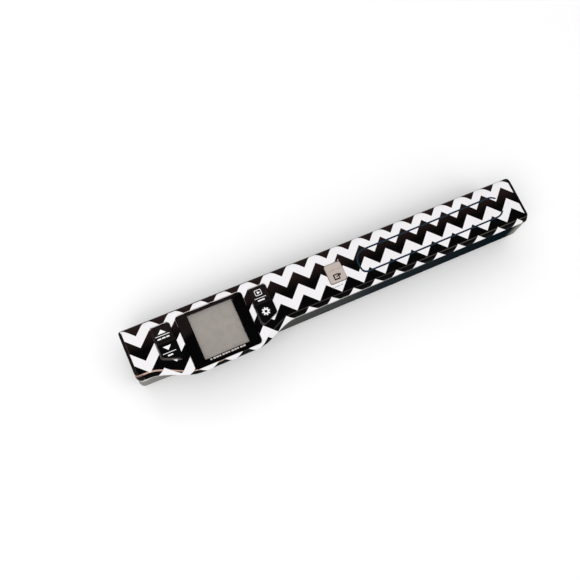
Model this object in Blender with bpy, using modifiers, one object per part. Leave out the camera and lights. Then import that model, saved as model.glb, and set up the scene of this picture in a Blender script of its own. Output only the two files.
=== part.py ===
"""Handheld wand scanner: a lofted two-part housing around a page-wide line sensor, rollers, keys and boards.

X runs along the wand with the display at -X, the swell around the display points to -Y, and +Z is up.
The wand lies on its rollers at Z = 0. Lengths are in metres.
Places are given from three faces: along from the left end, across from the far wall, up from the rollers.
"""

import math

import bmesh
import bpy
from mathutils import Matrix, Vector

# Overall sizes
BODY_LENGTH = 0.2597
SOLE_TO_TOP = 0.0260
ROLLER_PROUD = 0.0012
KEY_PROUD = 0.0006

# Housing
COVER_WALL = 0.0018
COVER_HEIGHT = 0.0036
SPLIT_GAP = 0.0003
PIECE_GAP = 0.0003
BORE_GAP = 0.0001
CUT_OVERRUN = 0.0020
WELD_DISTANCE = 0.000001
TRIM_THICKNESS = 0.0014
TRIM_WING_LENGTH = 0.0040

# Display and its window, whose border sets how far the housing swells
DISPLAY_SIDE = 0.0269
WINDOW_MIDDLE = 0.0520
WINDOW_FAR = 0.0049
WINDOW_SIDE_BORDER = 0.00665
WINDOW_FAR_BORDER = 0.0018
WINDOW_NEAR_BORDER = 0.0033
WINDOW_THICKNESS = 0.0012
WINDOW_CORNER = 0.0020
SWELL_LEDGE = 0.0007
SWELL_BAND = 0.0014
MODULE_BORDER = 0.0020
MODULE_THICKNESS = 0.0028
SCREEN_RECESS = 0.0003

# Near edge of the top cover away from the swell, measured across from the far wall
CREASE_LEFT = 0.0281
CREASE_RIGHT = 0.0283
SPLIT_LEFT = 0.0304
SPLIT_RIGHT = 0.0306
CREASE_CORNER_LEFT = 0.0020
SPLIT_CORNER_LEFT = 0.0034
CREASE_CORNER_RIGHT = 0.0016
SPLIT_CORNER_RIGHT = 0.0022
FAR_CORNER = 0.0014
LEAST_CORNER = 0.0010
BAND_POWER = 1.6

# Bottom cover
END_INSET = 0.0007
RIM_PROUD = 0.0003
RIM_INSET_AT_SWELL = 0.0006
WALL_LEFT = 0.0312
WALL_RIGHT = 0.0323
NEAR_SOLE_RADIUS = 0.0060
FAR_SOLE_RADIUS = 0.0050
LOWER_CORNER = 0.0034
END_SOLE_INSET = 0.0022

# Where the swell rises and falls along the wand
SWELL_RISE_START = 0.0065
SWELL_FALL_END = 0.0940
SWELL_LEFT_SHOULDER = 0.0036
SWELL_RIGHT_SHOULDER = -0.0056
SWELL_FALL_LEAN = 0.0025

# Two rocking keys, mirrored about the middle of the window
KEY_FROM_WINDOW = 0.0041
KEY_WIDTH = 0.0107
KEY_FAR = 0.0059
KEY_NEAR_OUTER = 0.0238
KEY_NEAR_INNER = 0.0281
KEY_CORNER = 0.0014
KEY_EDGE_BEVEL = 0.0003
KEY_FLANGE = 0.0008
KEY_FLANGE_THICKNESS = 0.0006
KEY_FLANGE_DROP = 0.0007
KEY_PIN_RADIUS = 0.0006
KEY_PIN_CLEARANCE = 0.0002
KEY_LUG_THICKNESS = 0.0012
KEY_LUG_WIDTH = 0.0032
KEY_LUG_BELOW_PIN = 0.0014
KEY_NUB_SIDE = 0.0022
PRESS_SPREAD = 0.0075
ROCK_ROOM = 0.00035

# Scan button
BUTTON_LEFT = 0.1233
BUTTON_LENGTH = 0.0104
BUTTON_FAR = 0.0099
BUTTON_WIDTH = 0.0116
BUTTON_CORNER = 0.0013
BUTTON_TRAVEL = 0.0005
BUTTON_SKIRT = 0.0008
BUTTON_STEM_SIDE = 0.0040

# Main board and what sits on it
BOARD_THICKNESS = 0.0012
BOARD_POST_GAP = 0.0006
BOARD_PAST_BUTTON = 0.0127
BOARD_WALL_GAP = 0.0012
BOARD_WIDTH = 0.0250
BOARD_POST_RADIUS = 0.0015
BOARD_POST_FAR = 0.0062
BOARD_POSTS_ALONG = (0.1015, 0.1145)
SWITCH_SIDE = 0.0045
SWITCH_HEIGHT = 0.0009
PLUNGER_RADIUS = 0.0011
PORT_LENGTH = 0.0088
PORT_WIDTH = 0.0076
PORT_HEIGHT = 0.0026
PORT_WALL = 0.0004
PORT_CORNER = 0.0007
PORT_END_INSET = 0.0004
PORT_TONGUE = 0.0006
CARD_SOCKET_LEFT = 0.0865
CARD_SOCKET_WIDTH = 0.0146
CARD_SOCKET_DEPTH = 0.0150
CARD_SOCKET_HEIGHT = 0.0019
CARD_SLOT_WIDTH = 0.0114
CARD_SLOT_HEIGHT = 0.0011
PROCESSOR_SIDE = 0.0120
PROCESSOR_HEIGHT = 0.0010
PROCESSOR_LEFT = 0.0575
CONNECTOR_LENGTH = 0.0040
CONNECTOR_WIDTH = 0.0060
CONNECTOR_HEIGHT = 0.0022

# Battery pack
BATTERY_FROM_BOARD = 0.0060
BATTERY_FROM_END = 0.0220
BATTERY_WALL_GAP = 0.0024
BATTERY_WIDTH = 0.0240
BATTERY_THICKNESS = 0.0060
BATTERY_EDGE = 0.0015
LEAD_RADIUS = 0.0007

# Line sensor
SENSOR_FROM_END = 0.0170
SENSOR_ROLLER_GAP = 0.0004
SENSOR_HEIGHT = 0.0130
SENSOR_END_WALL = 0.0030
SENSOR_SIDE_WALL = 0.0016
GUIDE_ROOM_HEIGHT = 0.0056
GLASS_THICKNESS = 0.0015
GLASS_RECESS = 0.0003
GLASS_WIDTH = 0.0080
GUIDE_WIDTH = 0.0030
GUIDE_HEIGHT = 0.0034
GUIDE_CHAMFER = 0.0012
LENS_WIDTH = 0.0020
LENS_HEIGHT = 0.0060
LENS_FROM_FAR = 0.0068
SENSOR_BOARD_THICKNESS = 0.0010
LAMP_LENGTH = 0.0016
RIBBON_WIDTH = 0.0100
RIBBON_THICKNESS = 0.0003
RIBBON_REACH = 0.0090
RIBBON_SOCKET_GAP = 0.0004

# Rollers and their drive
ROLLER_RADIUS = 0.0039
ROLLER_WIDTH = 0.0090
ROLLER_EDGE = 0.0005
ROLLER_FROM_END = 0.0310
ROLLER_WALL_ROOM = 0.0004
SHAFT_RADIUS = 0.00075
SHAFT_OVERHANG = 0.0070
POCKET_ROOM = 0.0006
BUSH_RADIUS = 0.0015
BUSH_LENGTH = 0.0024
BUSH_FROM_ROLLER = 0.0024
RIB_THICKNESS = 0.0014
RIB_WIDTH = 0.0046
POST_THICKNESS = 0.0024
PIN_HEAD_RADIUS = 0.0009
PIN_HEAD_LENGTH = 0.0003
IDLER_PIN_RADIUS = 0.0006
IDLER_PIN_OVERHANG = 0.0030
GEAR_MODULE = 0.0004
DRIVE_TEETH = 11
ENCODER_TEETH = 14
GEAR_WIDTH = 0.0024
GEAR_GAP = 0.0006
CENTRE_PLAY = 0.00008
HUB_RADIUS = 0.0015
CODE_DISC_RADIUS = 0.0037
CODE_DISC_THICKNESS = 0.0006
CODE_SLOTS = 16
CODE_SLOT_DEPTH = 0.0010
ENCODER_PIN_RADIUS = 0.0005
EYE_LENGTH = 0.0036
EYE_DEPTH = 0.0040
EYE_GAP = 0.0016
EYE_BITE = 0.0014
EYE_HEIGHT = 0.0052
EYE_CARRIER_THICKNESS = 0.0010

# Screws, posts and ribs
SCREW_FROM_END = 0.0073
SCREW_FAR = 0.0085
SCREW_NEAR = 0.0245
SCREW_HEAD_RADIUS = 0.0019
SCREW_HEAD_HEIGHT = 0.0013
SCREW_HEAD_EDGE = 0.0004
SCREW_RADIUS = 0.0010
SCREW_LENGTH = 0.0090
RECESS_WIDTH = 0.0005
RECESS_LENGTH = 0.0022
RECESS_DEPTH = 0.0008
POST_RADIUS = 0.0023
BOSS_HEIGHT = 0.0026
HEAD_SEAT = 0.0020
FUSE_DEPTH = 0.0006

# Gear tooth shape, as shares of the module or of the pitch
ADDENDUM_SHARE = 0.8
DEDENDUM_SHARE = 1.15
TOOTH_SHARE = 0.42
PRESSURE_ANGLE = math.radians(20)

# Facets
CORNER_STEPS = 5
RAMP_STEPS = 10
ARC_STEPS = 5
ROUND_STEPS = 28
SMALL_STEPS = 16
FLANK_STEPS = 3
SMOOTH_ANGLE = math.radians(30)

# Shares of the bottom cover's wall height, from its rim down, at which its outline is set
WALL_LEVEL_SHARES = (0.0, 0.06, 0.3, 0.55, 0.8, 1.0)

# Heights worked out from the sizes above
SOLE = ROLLER_PROUD
TOP = SOLE + SOLE_TO_TOP
SPLIT = TOP - COVER_HEIGHT
RIM = SPLIT - SPLIT_GAP
FLOOR = SOLE + COVER_WALL
CEILING = TOP - COVER_WALL
MODULE_TOP = CEILING - PIECE_GAP
BOARD_TOP = MODULE_TOP - MODULE_THICKNESS - PIECE_GAP
BOARD_UNDER = BOARD_TOP - BOARD_THICKNESS
BOARD_BASE = BOARD_TOP + PIECE_GAP
UNDER_BOARD = BOARD_UNDER - PIECE_GAP
PLUNGER_TOP = BOARD_BASE + SWITCH_HEIGHT
SENSOR_UNDER = FLOOR + PIECE_GAP
SENSOR_TOP = SENSOR_UNDER + SENSOR_HEIGHT
SENSOR_BOARD_TOP = SENSOR_TOP + PIECE_GAP + SENSOR_BOARD_THICKNESS
SHAFT_UP = ROLLER_RADIUS
RIB_TOP = SHAFT_UP + BUSH_RADIUS + PIECE_GAP
POCKET_TOP = SHAFT_UP + ROLLER_RADIUS / 2
BOSS_TOP = FLOOR + BOSS_HEIGHT
POST_UNDER = BOSS_TOP + PIECE_GAP
SCREW_UNDER = SOLE + HEAD_SEAT - SCREW_HEAD_HEIGHT
ENCODER_UP = SHAFT_UP + GEAR_MODULE * (DRIVE_TEETH + ENCODER_TEETH) / 2 + CENTRE_PLAY
CARD_SLOT_UP = UNDER_BOARD - CARD_SOCKET_HEIGHT / 2
KEY_PIN_UP = CEILING - KEY_FLANGE_DROP - KEY_FLANGE_THICKNESS / 2

# Places across the wand worked out from the sizes above
DISPLAY_FAR = WINDOW_FAR + WINDOW_FAR_BORDER
WINDOW_NEAR = DISPLAY_FAR + DISPLAY_SIDE + WINDOW_NEAR_BORDER
CREASE_SWELL = WINDOW_NEAR + SWELL_LEDGE
SWELL_DEPTH = CREASE_SWELL + SWELL_BAND
REAR_SHAFT = COVER_WALL + ROLLER_WALL_ROOM + ROLLER_RADIUS
IDLER_PIN = WALL_RIGHT - COVER_WALL - ROLLER_WALL_ROOM - ROLLER_RADIUS
KEY_MIDDLE = KEY_FAR + (KEY_NEAR_OUTER + KEY_NEAR_INNER - KEY_FAR - KEY_FAR) / 4
BUTTON_NEAR = BUTTON_FAR + BUTTON_WIDTH
BUTTON_MIDDLE_ACROSS = (BUTTON_FAR + BUTTON_NEAR) / 2
BOARD_FAR = COVER_WALL + BOARD_WALL_GAP
BATTERY_FAR = COVER_WALL + BATTERY_WALL_GAP
SENSOR_FAR = REAR_SHAFT + ROLLER_RADIUS + SENSOR_ROLLER_GAP
SENSOR_NEAR = IDLER_PIN - ROLLER_RADIUS - SENSOR_ROLLER_GAP
SENSOR_WIDTH = SENSOR_NEAR - SENSOR_FAR
SENSOR_MIDDLE = SENSOR_FAR + SENSOR_WIDTH / 2
PORT_MIDDLE = (SCREW_FAR + SCREW_NEAR) / 2

# Places along the wand worked out from the sizes above
WINDOW_LEFT = WINDOW_MIDDLE - DISPLAY_SIDE / 2 - WINDOW_SIDE_BORDER
WINDOW_RIGHT = WINDOW_MIDDLE + DISPLAY_SIDE / 2 + WINDOW_SIDE_BORDER
SWELL_RISE_END = WINDOW_LEFT + SWELL_LEFT_SHOULDER
SWELL_FALL_START = WINDOW_RIGHT + SWELL_RIGHT_SHOULDER
KEY_INNER = WINDOW_RIGHT - WINDOW_MIDDLE + KEY_FROM_WINDOW
KEY_OUTER = KEY_INNER + KEY_WIDTH
BUTTON_RIGHT = BUTTON_LEFT + BUTTON_LENGTH
BUTTON_MIDDLE_ALONG = (BUTTON_LEFT + BUTTON_RIGHT) / 2
LEFT_ROLLER = ROLLER_FROM_END
RIGHT_ROLLER = BODY_LENGTH - ROLLER_FROM_END
SENSOR_LEFT = SENSOR_FROM_END
SENSOR_RIGHT = BODY_LENGTH - SENSOR_FROM_END
BOARD_LEFT = SCREW_FROM_END + POST_RADIUS + BOARD_POST_GAP
BOARD_RIGHT = BUTTON_MIDDLE_ALONG + BOARD_PAST_BUTTON
BATTERY_LEFT = BOARD_RIGHT + BATTERY_FROM_BOARD
BATTERY_RIGHT = BODY_LENGTH - BATTERY_FROM_END
CARD_SOCKET_MIDDLE = CARD_SOCKET_LEFT + CARD_SOCKET_WIDTH / 2
RIBBON_LEFT = CARD_SOCKET_LEFT + CARD_SOCKET_WIDTH + RIBBON_SOCKET_GAP
PORT_LEFT = END_INSET + PORT_END_INSET
PORT_RIGHT = PORT_LEFT + PORT_LENGTH
POCKET_HALF = ROLLER_WIDTH / 2 + POCKET_ROOM
GEAR_LEFT = LEFT_ROLLER + ROLLER_WIDTH / 2 + GEAR_GAP
CODE_DISC_LEFT = GEAR_LEFT + GEAR_WIDTH + PIECE_GAP + (EYE_LENGTH - CODE_DISC_THICKNESS) / 2
ENCODER_POST_LEFT = CODE_DISC_LEFT + CODE_DISC_THICKNESS + PIECE_GAP

parts = None
cutters = None


def clear_scene():
    """Removes what a new file starts with, and adds the two collections."""
    global parts, cutters
    for item in list(bpy.data.objects):
        bpy.data.objects.remove(item, do_unlink=True)
    parts = bpy.data.collections.new("wand_scanner")
    cutters = bpy.data.collections.new("cutters")
    bpy.context.scene.collection.children.link(parts)
    bpy.context.scene.collection.children.link(cutters)
    cutters.hide_render = True


def material(name, color, roughness, metallic=0.0, alpha=1.0):
    """A plain surface shared by every piece made of it."""
    if name in bpy.data.materials:
        return bpy.data.materials[name]
    made = bpy.data.materials.new(name)
    made.use_nodes = True
    shader = made.node_tree.nodes["Principled BSDF"]
    shader.inputs["Base Color"].default_value = (*color, 1.0)
    shader.inputs["Roughness"].default_value = roughness
    shader.inputs["Metallic"].default_value = metallic
    shader.inputs["Alpha"].default_value = alpha
    return made


def film_white():
    return material("patterned_film", (0.85, 0.85, 0.86), 0.2)


def shell_grey():
    return material("dark_grey_plastic", (0.05, 0.055, 0.06), 0.45)


def gloss_black():
    return material("black_gloss_plastic", (0.006, 0.006, 0.007), 0.12)


def key_black():
    return material("black_key_plastic", (0.008, 0.008, 0.009), 0.22)


def taupe():
    return material("taupe_plastic", (0.48, 0.41, 0.37), 0.4)


def board_green():
    return material("circuit_board", (0.02, 0.14, 0.06), 0.5)


def chip_black():
    return material("component_black", (0.015, 0.015, 0.016), 0.5)


def tin():
    return material("tinned_steel", (0.62, 0.62, 0.6), 0.35, 1.0)


def steel():
    return material("steel", (0.55, 0.55, 0.57), 0.25, 1.0)


def bronze():
    return material("bush_bronze", (0.55, 0.35, 0.15), 0.4, 1.0)


def roller_rubber():
    return material("roller_rubber", (0.03, 0.03, 0.03), 0.85)


def gear_white():
    return material("gear_plastic", (0.75, 0.74, 0.7), 0.45)


def clear_plastic():
    return material("clear_plastic", (0.85, 0.88, 0.9), 0.1)


def sensor_black():
    return material("sensor_plastic", (0.02, 0.02, 0.022), 0.55)


def film_blue():
    return material("battery_wrap", (0.05, 0.16, 0.4), 0.35)


def ribbon_film():
    return material("ribbon_film", (0.6, 0.35, 0.08), 0.4)


def place(along, across, up):
    """World point from the distance along, across and up."""
    return Vector((along - BODY_LENGTH / 2, SWELL_DEPTH / 2 - across, up))


def adopt(item, name, surface):
    """Names an object and files it as a piece, or as a cutter where it has no surface."""
    item.name = name
    item.data.name = name
    for group in list(item.users_collection):
        group.objects.unlink(item)
    if surface is None:
        cutters.objects.link(item)
        item.hide_render = True
        item.display_type = "WIRE"
        return item
    parts.objects.link(item)
    item.data.materials.clear()
    item.data.materials.append(surface)
    item.data.shade_smooth()
    item.data.set_sharp_from_angle(angle=SMOOTH_ANGLE)
    return item


def box(name, surface, along, across, up):
    """A block between two distances on each of the three directions."""
    low = place(along[0], across[1], up[0])
    high = place(along[1], across[0], up[1])
    bpy.ops.mesh.primitive_cube_add(size=1.0, location=(low + high) / 2)
    item = bpy.context.object
    item.scale = high - low
    bpy.ops.object.transform_apply(location=False, rotation=False, scale=True)
    return adopt(item, name, surface)


def rod(name, surface, radius, start, end, steps=SMALL_STEPS):
    """A cylinder between two world points."""
    axis = end - start
    bpy.ops.mesh.primitive_cylinder_add(
        radius=radius, depth=axis.length, vertices=steps, location=(start + end) / 2
    )
    item = bpy.context.object
    item.rotation_euler = axis.to_track_quat("Z", "Y").to_euler()
    return adopt(item, name, surface)


def upright(name, surface, radius, at, up, steps=SMALL_STEPS):
    """A vertical cylinder at (along, across), between two heights."""
    return rod(name, surface, radius, place(*at, up[0]), place(*at, up[1]), steps)


def axle(name, surface, radius, along, at, steps=SMALL_STEPS):
    """A cylinder along the wand at (across, up), between two distances."""
    return rod(name, surface, radius, place(along[0], *at), place(along[1], *at), steps)


def turned(name, surface, profile, origin, axis, steps=ROUND_STEPS):
    """A closed profile of (radius, distance) points, turned about an axis through its origin."""
    mesh = bpy.data.meshes.new(name)
    count = len(profile)
    edges = [(i, (i + 1) % count) for i in range(count)]
    mesh.from_pydata([(radius, 0, distance) for radius, distance in profile], edges, [])
    item = bpy.data.objects.new(name, mesh)
    bpy.context.scene.collection.objects.link(item)
    screw = item.modifiers.new("turn", "SCREW")
    screw.steps = steps
    screw.render_steps = steps
    screw.use_merge_vertices = True
    screw.merge_threshold = WELD_DISTANCE
    screw.use_normal_calculate = True
    solid = as_mesh(item, name)
    solid.location = origin
    solid.rotation_euler = axis.to_track_quat("Z", "Y").to_euler()
    return adopt(solid, name, surface)


def as_mesh(item, name):
    """The evaluated shape of an object as a plain mesh object that takes its place."""
    graph = bpy.context.evaluated_depsgraph_get()
    mesh = bpy.data.meshes.new_from_object(item.evaluated_get(graph))
    work = bmesh.new()
    work.from_mesh(mesh)
    bmesh.ops.remove_doubles(work, verts=work.verts, dist=WELD_DISTANCE)
    bmesh.ops.recalc_face_normals(work, faces=work.faces)
    work.to_mesh(mesh)
    work.free()
    solid = bpy.data.objects.new(name, mesh)
    solid.matrix_world = item.matrix_world
    bpy.context.scene.collection.objects.link(solid)
    bpy.data.objects.remove(item, do_unlink=True)
    return solid


def outline_curve(name, outline, thickness):
    """A filled flat curve of local (x, y) points with a thickness."""
    curve = bpy.data.curves.new(name, "CURVE")
    curve.dimensions = "2D"
    curve.fill_mode = "BOTH"
    curve.extrude = thickness / 2
    spline = curve.splines.new("POLY")
    spline.points.add(len(outline) - 1)
    for point, (x, y) in zip(spline.points, outline):
        point.co = (x, y, 0, 1)
    spline.use_cyclic_u = True
    item = bpy.data.objects.new(name, curve)
    bpy.context.scene.collection.objects.link(item)
    return item


def plate(name, surface, outline, up, pivot=None):
    """A flat outline of (along, across) points between two heights, with its origin at a pivot."""
    if pivot is None:
        pivot = place(outline[0][0], outline[0][1], up[0])
    local = []
    for along, across in outline:
        point = place(along, across, 0) - pivot
        local.append((point.x, point.y))
    item = outline_curve(name, local, up[1] - up[0])
    item.location = (pivot.x, pivot.y, (up[0] + up[1]) / 2)
    bpy.context.view_layer.update()
    solid = as_mesh(item, name)
    solid.data.transform(Matrix.Translation((0, 0, solid.location.z - pivot.z)))
    solid.location.z = pivot.z
    return adopt(solid, name, surface)


def profile_bar(name, surface, outline, along, pivot=None):
    """A cross-section of (across, up) points between two distances along, with its origin at a pivot."""
    if pivot is None:
        pivot = place(along[0], outline[0][0], outline[0][1])
    local = []
    for across, up in outline:
        local.append((place(0, across, 0).y - pivot.y, up - pivot.z))
    item = outline_curve(name, local, along[1] - along[0])
    item.rotation_euler = (math.pi / 2, 0, math.pi / 2)
    item.location = (place((along[0] + along[1]) / 2, 0, 0).x, pivot.y, pivot.z)
    bpy.context.view_layer.update()
    solid = as_mesh(item, name)
    solid.data.transform(Matrix.Translation((0, 0, solid.location.x - pivot.x)))
    solid.location.x = pivot.x
    return adopt(solid, name, surface)


def combine(target, tool, operation):
    """Cuts a tool from a piece or joins it on, and files the tool with the cutters."""
    if tool.name not in cutters.objects:
        adopt(tool, tool.name, None)
    step = target.modifiers.new(tool.name, "BOOLEAN")
    step.operation = operation
    step.solver = "EXACT"
    step.object = tool


def cut(target, *tools):
    for tool in tools:
        combine(target, tool, "DIFFERENCE")


def join(target, *tools):
    for tool in tools:
        combine(target, tool, "UNION")


def soften(item, width, segments=2):
    """Rounds a piece's sharp edges."""
    bevel = item.modifiers.new("soft_edges", "BEVEL")
    bevel.width = width
    bevel.segments = segments
    bevel.limit_method = "ANGLE"
    bevel.angle_limit = SMOOTH_ANGLE


def span(middle, width):
    """The two ends of a width about its middle."""
    return middle - width / 2, middle + width / 2


def mix(first, second, share):
    return first + (second - first) * share


def smooth_share(share):
    share = min(1.0, max(0.0, share))
    return share * share * (3 - 2 * share)


def arc(middle, radius, start, end, steps):
    """Points on a circle from one angle to another, in degrees, along and across."""
    points = []
    for i in range(steps + 1):
        angle = math.radians(mix(start, end, i / steps))
        points.append((middle[0] + radius * math.cos(angle), middle[1] + radius * math.sin(angle)))
    return points


def rounded(corners, radius, steps=4):
    """A convex outline with each of its corners replaced by an arc."""
    points = []
    count = len(corners)
    for i, corner in enumerate(corners):
        here = Vector(corner)
        back = (Vector(corners[i - 1]) - here).normalized()
        ahead = (Vector(corners[(i + 1) % count]) - here).normalized()
        half = back.angle(ahead) / 2
        middle = here + (back + ahead).normalized() * radius / math.sin(half)
        start = here + back * radius / math.tan(half) - middle
        end = here + ahead * radius / math.tan(half) - middle
        turn = start.angle_signed(end)
        for k in range(steps + 1):
            angle = math.atan2(start.y, start.x) - turn * k / steps
            points.append((middle.x + radius * math.cos(angle), middle.y + radius * math.sin(angle)))
    return points


def grown(corners, margin):
    """A convex outline moved outwards by a margin."""
    middle = sum((Vector(corner) for corner in corners), Vector((0, 0))) / len(corners)
    count = len(corners)
    lines = []
    for i in range(count):
        start = Vector(corners[i])
        run = (Vector(corners[(i + 1) % count]) - start).normalized()
        out = Vector((run.y, -run.x))
        if out.dot(start - middle) < 0:
            out = -out
        lines.append((start + out * margin, run))
    points = []
    for i in range(count):
        first, run = lines[i - 1]
        second, other = lines[i]
        across = run.x * other.y - run.y * other.x
        gap = second - first
        points.append(tuple(first + run * ((gap.x * other.y - gap.y * other.x) / across)))
    return points


def rectangle(along, across):
    return [(along[0], across[0]), (along[1], across[0]), (along[1], across[1]), (along[0], across[1])]


class Level:
    """One horizontal outline of the housing: its height and where its edges lie."""

    def __init__(self, up, far, near, end, corners, fall_lean):
        self.up = up
        self.far = far
        self.near_left, self.near_swell, self.near_right = near
        self.end = end
        self.left_corner, self.right_corner, self.far_corner = corners
        self.fall_lean = fall_lean

    def near_at(self, along):
        """Distance across of the near edge, which swells around the display."""
        rise = (along - SWELL_RISE_START) / (SWELL_RISE_END - SWELL_RISE_START)
        if rise < 1:
            return mix(self.near_left, self.near_swell, smooth_share(rise))
        start = SWELL_FALL_START + self.fall_lean
        fall = (along - start) / (SWELL_FALL_END - SWELL_FALL_START)
        return mix(self.near_swell, self.near_right, smooth_share(fall))

    def ring(self):
        """The outline's points, anticlockwise as seen from above."""
        left = self.end
        right = BODY_LENGTH - self.end
        radius = self.left_corner
        points = arc((left + radius, self.near_left - radius), radius, 180, 90, CORNER_STEPS)
        for i in range(RAMP_STEPS + 1):
            along = mix(SWELL_RISE_START, SWELL_RISE_END, i / RAMP_STEPS)
            points.append((along, self.near_at(along)))
        for i in range(RAMP_STEPS + 1):
            along = mix(SWELL_FALL_START, SWELL_FALL_END, i / RAMP_STEPS) + self.fall_lean
            points.append((along, self.near_at(along)))
        radius = self.right_corner
        points += arc((right - radius, self.near_right - radius), radius, 90, 0, CORNER_STEPS)
        radius = self.far_corner
        points += arc((right - radius, self.far + radius), radius, 0, -90, CORNER_STEPS)
        points += arc((left + radius, self.far + radius), radius, -90, -180, CORNER_STEPS)
        return [place(along, across, self.up) for along, across in points]


def loft(name, surface, levels, closed_ends):
    """A skin through a stack of housing outlines, capped at its last one, or at both."""
    work = bmesh.new()
    rings = []
    for level in levels:
        rings.append([work.verts.new(point) for point in level.ring()])
    count = len(rings[0])
    for lower, upper in zip(rings, rings[1:]):
        for i in range(count):
            k = (i + 1) % count
            work.faces.new((lower[i], lower[k], upper[k], upper[i]))
    work.faces.new(rings[-1])
    if closed_ends:
        work.faces.new(list(reversed(rings[0])))
    bmesh.ops.recalc_face_normals(work, faces=work.faces)
    mesh = bpy.data.meshes.new(name)
    work.to_mesh(mesh)
    work.free()
    item = bpy.data.objects.new(name, mesh)
    bpy.context.scene.collection.objects.link(item)
    return adopt(item, name, surface)


def cover_levels(wall, drop):
    """The top cover's outlines from under its split line to its top face, a wall inside its skin."""
    levels = []
    reach = COVER_HEIGHT - wall
    end = wall + TRIM_THICKNESS + PIECE_GAP if wall else 0
    steps = [(0.0, -drop)] if drop else []
    steps += [(i / ARC_STEPS, 0.0) for i in range(ARC_STEPS + 1)]
    for share, lower in steps:
        angle = share * math.pi / 2
        band = 1 - math.sin(angle) ** BAND_POWER
        near = (
            mix(CREASE_LEFT, SPLIT_LEFT, band) - wall,
            mix(CREASE_SWELL, SWELL_DEPTH, band) - wall,
            mix(CREASE_RIGHT, SPLIT_RIGHT, band) - wall,
        )
        up = SPLIT + lower + reach * math.sin(angle)
        far = COVER_HEIGHT - reach * math.cos(angle)
        corners = (
            max(mix(CREASE_CORNER_LEFT, SPLIT_CORNER_LEFT, band) - wall, LEAST_CORNER),
            max(mix(CREASE_CORNER_RIGHT, SPLIT_CORNER_RIGHT, band) - wall, LEAST_CORNER),
            max(FAR_CORNER - wall, LEAST_CORNER),
        )
        levels.append(Level(up, far, near, end, corners, SWELL_FALL_LEAN * band))
    return levels


def bottom_levels(wall, rise):
    """The bottom cover's outlines from over its rim down to its sole, a wall inside its skin."""
    levels = []
    wall_under = SOLE + NEAR_SOLE_RADIUS
    corners = [LOWER_CORNER - wall] * 3
    steps = [(0.0, rise)] if rise else []
    steps += [(share, 0.0) for share in WALL_LEVEL_SHARES]
    for share, higher in steps:
        near = (
            mix(SPLIT_LEFT + RIM_PROUD, WALL_LEFT, share) - wall,
            mix(SWELL_DEPTH - RIM_INSET_AT_SWELL, WALL_RIGHT, smooth_share(share)) - wall,
            mix(SPLIT_RIGHT + RIM_PROUD, WALL_RIGHT, share) - wall,
        )
        up = mix(RIM, wall_under, share) + higher
        levels.append(Level(up, wall, near, END_INSET + wall, corners, SWELL_FALL_LEAN))
    reach = NEAR_SOLE_RADIUS - wall
    for i in range(1, ARC_STEPS + 1):
        angle = math.pi / 2 * i / ARC_STEPS
        curl = 1 - math.cos(angle)
        inset = wall + reach * curl
        near = (WALL_LEFT - inset, WALL_RIGHT - inset, WALL_RIGHT - inset)
        far = wall + (FAR_SOLE_RADIUS - wall) * curl
        end = END_INSET + wall + END_SOLE_INSET * curl
        levels.append(Level(wall_under - reach * math.sin(angle), far, near, end, corners, SWELL_FALL_LEAN))
    return levels


def key_outline(side):
    """The slanted outline of a rocking key, left (-1) or right (+1) of the window."""
    outer = WINDOW_MIDDLE + side * KEY_OUTER
    inner = WINDOW_MIDDLE + side * KEY_INNER
    return [(outer, KEY_FAR), (inner, KEY_FAR), (inner, KEY_NEAR_INNER), (outer, KEY_NEAR_OUTER)]


def key_middle(side):
    return WINDOW_MIDDLE + side * (KEY_OUTER + KEY_INNER) / 2


def key_pin_reach():
    """Half the length of a rocking key's pin, out to the far faces of its lugs."""
    return (KEY_OUTER - KEY_INNER) / 2 + KEY_FLANGE + PIECE_GAP + KEY_LUG_THICKNESS


def display_square(margin):
    """The display's visible square, along and across, with a margin."""
    side = DISPLAY_SIDE + 2 * margin
    return span(WINDOW_MIDDLE, side), span(DISPLAY_FAR + DISPLAY_SIDE / 2, side)


def port_section(margin):
    """Corners of the USB port's section, across and up, with a margin."""
    middle = UNDER_BOARD - PORT_HEIGHT / 2
    return rectangle(span(PORT_MIDDLE, PORT_WIDTH + 2 * margin), span(middle, PORT_HEIGHT + 2 * margin))


def screw_places():
    """Names and places of the four housing screws."""
    return {
        "left_rear": (SCREW_FROM_END, SCREW_FAR),
        "left_front": (SCREW_FROM_END, SCREW_NEAR),
        "right_rear": (BODY_LENGTH - SCREW_FROM_END, SCREW_FAR),
        "right_front": (BODY_LENGTH - SCREW_FROM_END, SCREW_NEAR),
    }


def end_slab(name, end, length, across, margin):
    """A block over one end of the top cover, reaching a length inwards from the end's face."""
    if end == "left":
        along = (-CUT_OVERRUN - margin, length)
    else:
        along = (BODY_LENGTH - length, BODY_LENGTH + CUT_OVERRUN + margin)
    return box(name, None, along, across, (SPLIT - CUT_OVERRUN - margin, TOP + CUT_OVERRUN + margin))


def crease_at(end):
    return CREASE_LEFT if end == "left" else CREASE_RIGHT


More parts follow.
